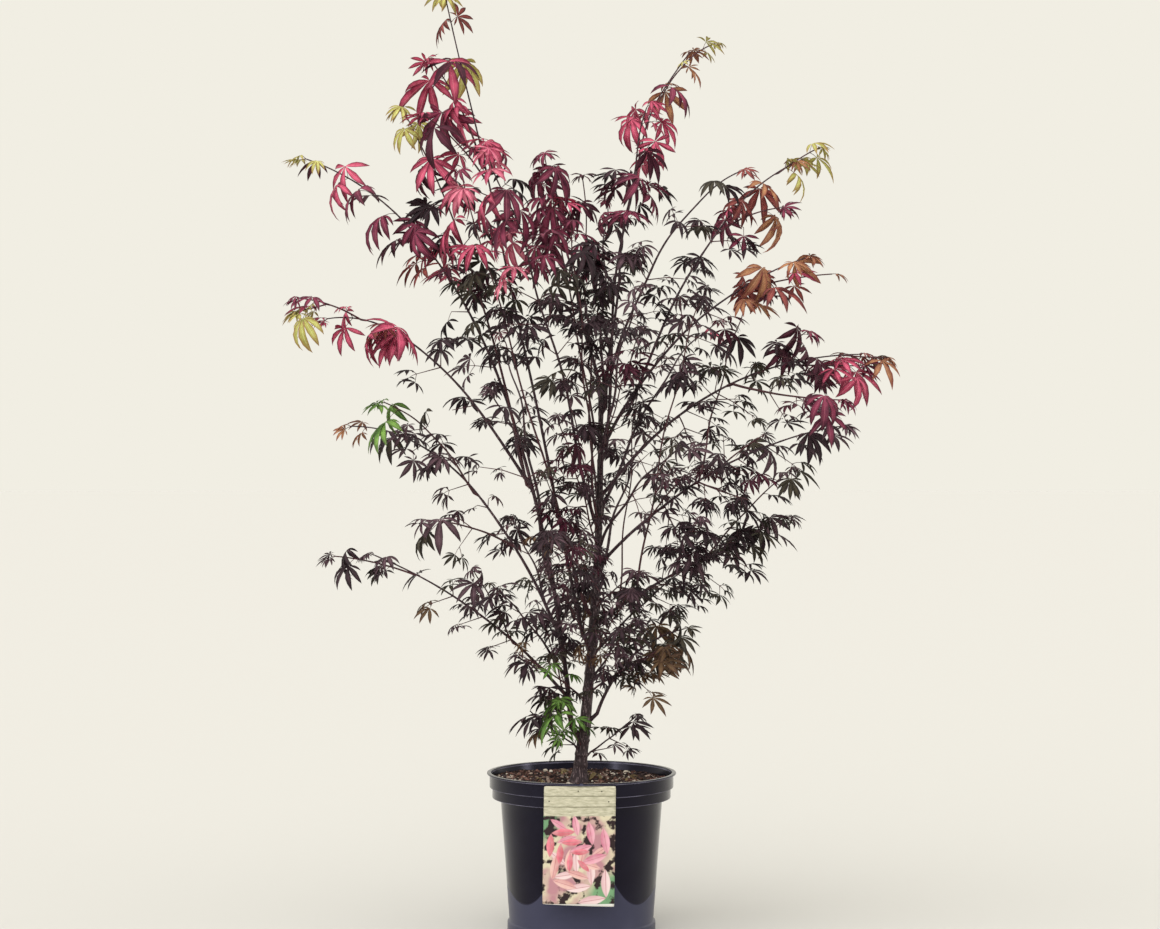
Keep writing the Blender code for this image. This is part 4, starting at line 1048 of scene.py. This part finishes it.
# Each tint of leaf: its slot, its tones from dark to light, and the tone of its ribs and rim.
Tint = namedtuple("Tint", "slot dark light rib rim")
TINTS = {
    "purple_black": Tint("dark_purple_leaf", (0.015, 0.008, 0.011), (0.052, 0.026, 0.035),
                         (0.095, 0.048, 0.062), (0.013, 0.007, 0.009)),
    "olive_black": Tint("dark_purple_leaf", (0.018, 0.015, 0.011), (0.07, 0.058, 0.038),
                        (0.115, 0.092, 0.062), (0.016, 0.011, 0.01)),
    "plum": Tint("dark_purple_leaf", (0.042, 0.019, 0.027), (0.12, 0.066, 0.084),
                 (0.185, 0.11, 0.13), (0.026, 0.012, 0.016)),
    "mulberry": Tint("wine_leaf", (0.028, 0.005, 0.012), (0.085, 0.014, 0.032),
                     (0.15, 0.036, 0.06), (0.034, 0.005, 0.012)),
    "wine": Tint("wine_leaf", (0.082, 0.01, 0.029), (0.27, 0.04, 0.088),
                 (0.35, 0.105, 0.145), (0.034, 0.006, 0.014)),
    "red_brown": Tint("wine_leaf", (0.13, 0.026, 0.026), (0.33, 0.072, 0.064),
                      (0.42, 0.155, 0.12), (0.06, 0.014, 0.016)),
    # Crimson and rose are the leaves' own colours, with their light tones raised as painted backlight glow.
    "crimson": Tint("crimson_leaf", (0.29, 0.022, 0.062), (0.72, 0.12, 0.22),
                    (0.78, 0.27, 0.34), (0.085, 0.008, 0.022)),
    "rose": Tint("crimson_leaf", (0.48, 0.07, 0.145), (0.78, 0.25, 0.33),
                 (0.84, 0.42, 0.46), (0.2, 0.018, 0.05)),
    "bronze": Tint("bronze_leaf", (0.17, 0.062, 0.034), (0.46, 0.22, 0.105),
                   (0.52, 0.29, 0.16), (0.15, 0.022, 0.022)),
    "brown": Tint("bronze_leaf", (0.05, 0.03, 0.016), (0.18, 0.105, 0.052),
                  (0.26, 0.16, 0.09), (0.06, 0.024, 0.016)),
    "lime": Tint("green_leaf", (0.29, 0.28, 0.064), (0.58, 0.58, 0.18),
                 (0.65, 0.63, 0.31), (0.26, 0.11, 0.04)),
    "green": Tint("green_leaf", (0.055, 0.135, 0.024), (0.22, 0.4, 0.08),
                  (0.33, 0.47, 0.16), (0.045, 0.07, 0.02)),
}
MIXES = {  # the tints that stand together, and how much of each
    "purple_black": {"purple_black": 0.66, "olive_black": 0.14, "plum": 0.12, "mulberry": 0.08},
    "olive_black": {"purple_black": 0.4, "olive_black": 0.4, "plum": 0.1, "brown": 0.1},
    "wine": {"wine": 0.48, "mulberry": 0.34, "crimson": 0.18},
    "crimson": {"crimson": 0.54, "wine": 0.26, "mulberry": 0.1, "rose": 0.1},
    "red_brown": {"red_brown": 0.5, "wine": 0.25, "mulberry": 0.15, "bronze": 0.1},
    "brown": {"brown": 0.5, "olive_black": 0.24, "plum": 0.16, "bronze": 0.1},
}
OUTER_FROM = 0.5
END_FROM = 0.86
ACCENTS = (  # X, Z, reach and tint of the sprays that differ from their neighbours
    (-0.02, 0.312, 0.026, "green"), (-0.203, 1.312, 0.034, "red_brown"), (-0.241, 0.99, 0.028, "red_brown"),
    (-0.035, 1.02, 0.028, "wine"), (-0.195, 1.235, 0.042, "crimson"), (-0.35, 1.099, 0.032, "crimson"),
    (-0.396, 1.104, 0.022, "bronze"), (-0.398, 0.905, 0.018, "lime"), (-0.172, 1.085, 0.018, "rose"),
    (-0.036, 0.384, 0.022, "green"), (0.104, 0.868, 0.016, "green"), (-0.262, 0.77, 0.026, "green"),
    (0.116, 0.41, 0.022, "brown"), (-0.198, 0.955, 0.02, "bronze"), (0.243, 0.925, 0.026, "bronze"),
    (-0.25, 1.15, 0.02, "bronze"), (-0.268, 1.202, 0.032, "lime"), (-0.18, 1.06, 0.03, "crimson"),
    (-0.105, 0.985, 0.022, "rose"), (-0.296, 0.88, 0.045, "crimson"), (0.09, 1.19, 0.046, "crimson"),
    (0.385, 0.815, 0.036, "crimson"),
)
GAPS = (  # X, Z and reach of the openings in the crown
    (-0.149, 1.284, 0.03), (-0.146, 1.23, 0.028), (-0.1315, 1.181, 0.02), (0.275, 1.045, 0.024),
    (0.379, 0.931, 0.034), (-0.205, 0.922, 0.024), (-0.225, 0.945, 0.016), (-0.032, 0.874, 0.016),
    (-0.035, 0.99, 0.014), (0.084, 0.64, 0.027), (0.264, 0.63, 0.018), (-0.15, 0.637, 0.026),
    (-0.206, 0.571, 0.022), (0.091, 1.11, 0.02), (-0.263, 0.515, 0.016), (-0.264, 0.697, 0.018),
    (-0.206, 0.755, 0.016), (0.101, 0.694, 0.018), (0.075, 1.07, 0.02), (-0.27, 1.053, 0.016),
    (0.21, 0.936, 0.016), (0.262, 0.882, 0.018), (-0.097, 0.346, 0.025), (0.205, 0.526, 0.02),
    (0.096, 0.345, 0.014),
)


def leaf_pattern(lobes, arch, chance):
    """A leaf lying ahead of its stalk: each lobe is a strip, folded along its rib and arched over."""
    shape = bmesh.new()
    leaf_map = shape.loops.layers.uv.new("leaf")
    closing = chance.uniform(0.78, 1.05)
    for degrees, reach in lobes:
        turn = math.radians(degrees * closing + chance.gauss(0.0, 3.5))
        reach *= chance.uniform(0.9, 1.08)
        bend = chance.gauss(0.0, 0.05)
        lobe = bmesh.ops.create_grid(shape, x_segments=LOBE_ROWS, y_segments=2, size=0.5)["verts"]
        for corner in lobe:
            along, half = LOBE_OUTLINE[round((corner.co.x + 0.5) * LOBE_ROWS)]
            side = round(corner.co.y * 2.0)
            for loop in corner.link_loops:
                loop[leaf_map].uv = (along, 0.5 + 0.5 * side)
            aside = side * half * reach * chance.uniform(0.9, 1.1) + bend * along**2
            fold = LOBE_FOLD * half * abs(side) * reach
            ahead = reach * math.sin(arch * along) / arch + fold * math.sin(arch * along)
            rise = reach * (math.cos(arch * along) - 1.0) / arch + fold * math.cos(arch * along)
            corner.co = (
                ahead * math.cos(turn) - aside * math.sin(turn),
                ahead * math.sin(turn) + aside * math.cos(turn),
                rise,
            )
    bmesh.ops.remove_doubles(shape, verts=shape.verts, dist=0.002)
    return pattern_of(shape, leaf_map)


def leaf_frame(junction, direction, roll, length):
    """Places a leaf with its middle lobe along a direction and its face upwards, but for a roll."""
    ahead = direction.normalized()
    side = UP.cross(ahead).normalized()
    turn = Matrix((ahead, side, ahead.cross(side))).transposed().to_4x4()
    return Matrix.Translation(junction) @ turn @ Matrix.Rotation(roll, 4, "X") @ Matrix.Scale(length, 4)


def spray_tint(whip, share, place, chance):
    """The tint of one twig's leaves, from where it stands on its whip."""
    for x, z, reach, tint in ACCENTS:
        if math.hypot(place.x - x, place.z - z) < reach:
            return tint
    share += chance.gauss(0.0, 0.07)
    inner, outer, end = whip.tints.split()
    tint = end if share > END_FROM else outer if share > OUTER_FROM else inner
    mix = MIXES.get(tint, {tint: 1.0})
    return chance.choices(list(mix), mix.values())[0]


limb_lines = KDTree(sum(len(limb.points) for limb in limbs.values()))
limb_radii = []
for limb in limbs.values():
    for point, radius in zip(limb.points, limb.radii):
        limb_lines.insert(point, len(limb_radii))
        limb_radii.append(radius)
limb_lines.balance()
taken = set()
leaves = {tint: [] for tint in TINTS}
twig_lines = []
leaf_chance = random.Random(7)


def has_room(middle):
    """True if no limb, leaf or gap is close, in which case the place is taken."""
    number, distance = limb_lines.find(middle)[1:]
    cell = tuple(int(math.floor(value / LEAF_ROOM)) for value in middle)
    if distance < limb_radii[number] + LIMB_ROOM or cell in taken or middle.z < LOWEST_LEAF:
        return False
    if any(math.hypot(middle.x - x, middle.z - z) < reach for x, z, reach in GAPS):
        return False
    taken.add(cell)
    return True


def grow_leaf(place, outward, size, tint):
    """A leaf on its stalk, unless it would crowd another or touch a limb. Small leaves lie flatter."""
    outward = outward.normalized()
    size *= leaf_chance.uniform(*LEAF_SWING)
    stalk = size * leaf_chance.uniform(*STALK_SHARES)
    large = size > LARGE_LEAF
    junction = place + outward * stalk - UP * stalk * STALK_SAG
    ahead = outward - UP * (outward.z + leaf_chance.uniform(*(LARGE_HANG if large else SMALL_HANG)))
    lie = leaf_frame(junction, ahead, leaf_chance.gauss(0.0, ROLL), size)
    if not has_room(lie @ LEAF_MIDDLE):
        return
    middle = place.lerp(junction, 0.5) + UP * stalk * STALK_ARCH
    twig_lines.append(((place, middle, junction), (STALK_RADIUS * 1.3, STALK_RADIUS, STALK_RADIUS)))
    leaves[tint].append((leaf_chance.randrange(LEAF_PATTERNS) + LEAF_PATTERNS * large, lie))


def square_to(direction, turn):
    """A direction at right angles to another, turned round it."""
    side = direction.orthogonal().normalized()
    side.rotate(Matrix.Rotation(turn, 3, direction))
    return side


def grow_twig(root, outward, length, leaf, tint):
    """A side twig with its pairs of leaves, or one leaf on the whip where a twig would be too short."""
    if length < SHORTEST_TWIG:
        grow_leaf(root, outward, leaf, tint)
        return
    pairs = max(1, round(length / LEAF_SPACING))
    line = []
    for step in range(pairs + 1):
        along = length * step / pairs
        line.append(root + outward * along - UP * (TWIG_SAG * along**2 / length))
    twig_lines.append((line, np.linspace(TWIG_RADIUS, TWIG_TIP_RADIUS, len(line))))
    heading = (line[-1] - line[-2]).normalized()
    for knot in line[1:]:
        beside = square_to(heading, leaf_chance.uniform(0.0, math.pi))
        for way in (1.0, -1.0):
            out = heading * math.cos(STALK_FORK) + beside * way * math.sin(STALK_FORK)
            grow_leaf(knot, out, leaf, tint)
    grow_leaf(line[-1], heading, leaf, tint)


for whip in WHIPS + SHOOTS:
    limb = limbs[whip.name]
    if whip in SHOOTS:
        twig_lines.append((limb.points, limb.radii))
    foot = max(whip.bare - BARE_MARGIN, LEAST_BARE)
    nodes = max(2, round(limb.lengths[-1] * (1.0 - foot) * whip.full / NODE_SPACING))
    quarter = leaf_chance.uniform(0.0, math.pi)
    for node in range(nodes):
        up_mass = (node + 0.5) / nodes
        root, ahead = limb.place(foot + (1.0 - foot) * up_mass)
        longest = whip.spread * float(np.interp(up_mass, UP_MASS, TWIG_PROFILE))
        leaf = whip.leaf * float(np.interp(up_mass, UP_MASS, LEAF_PROFILE))
        for side in (0.0, math.pi):
            turn = quarter + node * math.pi / 2.0 + side + leaf_chance.uniform(-TWIG_SWING, TWIG_SWING)
            outward = ahead * math.cos(FORK_ANGLE) + square_to(ahead, turn) * math.sin(FORK_ANGLE)
            length = longest * leaf_chance.uniform(*TWIG_SHARES)
            tint = spray_tint(whip, up_mass, root + outward * length, leaf_chance)
            grow_twig(root, outward, length, leaf, tint)
    tip, ahead = limb.place(1.0)
    for way in range(TIP_LEAVES):
        outward = ahead + square_to(ahead, way * 2.1) * 0.5
        grow_leaf(tip, outward, whip.leaf * LEAF_PROFILE[-1], whip.tints.split()[-1])

patterns = []
for index in range(2 * LEAF_PATTERNS):
    large = index >= LEAF_PATTERNS
    lobes = SEVEN_LOBES if (index % 3 == 0) != large else FIVE_LOBES
    arch = leaf_chance.uniform(*(LARGE_ARCH if large else SMALL_ARCH))
    patterns.append(leaf_pattern(lobes, arch, leaf_chance))

fallen = []
for x, y, size in FALLEN_LEAVES:
    place = Vector((x, y, soil_height(x, y) + FALLEN_RISE))
    fallen.append((len(fallen), turned_frame(place, leaf_chance, 0.45, size)))
curled = [leaf_pattern(FIVE_LOBES, FALLEN_ARCH, leaf_chance) for leaf in fallen]
dry = Finish("dry_leaf", 0.8, Specular_IOR_Level=0.2)
dry_tone = dry.place.cloud(60.0, 3.0).above(0.5, 0.4)
dry.paint(
    Base_Color=dry_tone.blend((0.085, 0.05, 0.022), (0.3, 0.23, 0.11)),
    Roughness=0.7 + dry.place.cloud(300.0) * 0.2,
    Normal=dry.place.cloud(500.0, 3.0).bump(0.0005, 0.7),
)
add_piece("fallen_leaves", joined_copies("fallen_leaves", curled, fallen), dry, "potting_soil")

masses = [name for name in frame["nodes"] if name.startswith("foliage_")]
for name, tint in TINTS.items():
    blade = Finish(f"{name}_blade", 0.55, Specular_IOR_Level=0.2)
    along, across = blade.read_map("leaf").parts()[:2]
    from_rib = (across - 0.5).absolute() * 2.0
    rib = 1.0 - from_rib.above(0.1, 0.14)
    tip = along.above(0.74, 0.36)
    rim = from_rib.above(0.74, 0.44)
    tone = blade.place.cloud(34.0, 3.0, 0.6).above(0.5, 0.3)
    colour = tone.blend(tint.dark, tint.light)
    colour = ((rim + tip - rim * tip) * 0.85).blend(colour, tint.rim)
    colour = (rib * 0.55).blend(colour, tint.rib)
    side_ribs = ((along * 13.0 - from_rib * 1.6).fraction() - 0.5).absolute()
    blade.paint(
        Base_Color=colour,
        Roughness=0.48 + blade.place.cloud(90.0) * 0.2,
        Normal=(side_ribs + rib * 0.8).bump(0.0004, 0.5),
    )
    foliage = joined_copies(f"leaves_{name}", patterns, leaves[name])
    add_piece(f"leaves_{name}", foliage, blade, tint.slot, *masses)

twig_curve = bpy.data.curves.new("twigs", "CURVE")
twig_curve.dimensions = "3D"
twig_curve.bevel_depth = 1.0
twig_curve.bevel_resolution = 0
twig_curve.use_fill_caps = True
for line, radii in twig_lines:
    spline = twig_curve.splines.new("POLY")
    spline.points.add(len(line) - 1)
    for knot, point, radius in zip(spline.points, line, radii):
        knot.co = (*point, 1.0)
        knot.radius = radius
bare_twigs = set_out("twigs", twig_curve)
depsgraph = bpy.context.evaluated_depsgraph_get()
twig_mesh = bpy.data.meshes.new_from_object(bare_twigs.evaluated_get(depsgraph))
bpy.data.objects.remove(bare_twigs)
twig_bark = bark_finish("twig_bark", (0.026, 0.009, 0.014), (0.1, 0.03, 0.038), (0.18, 0.08, 0.08))
add_piece("twigs", twig_mesh, twig_bark, "bark", *masses)
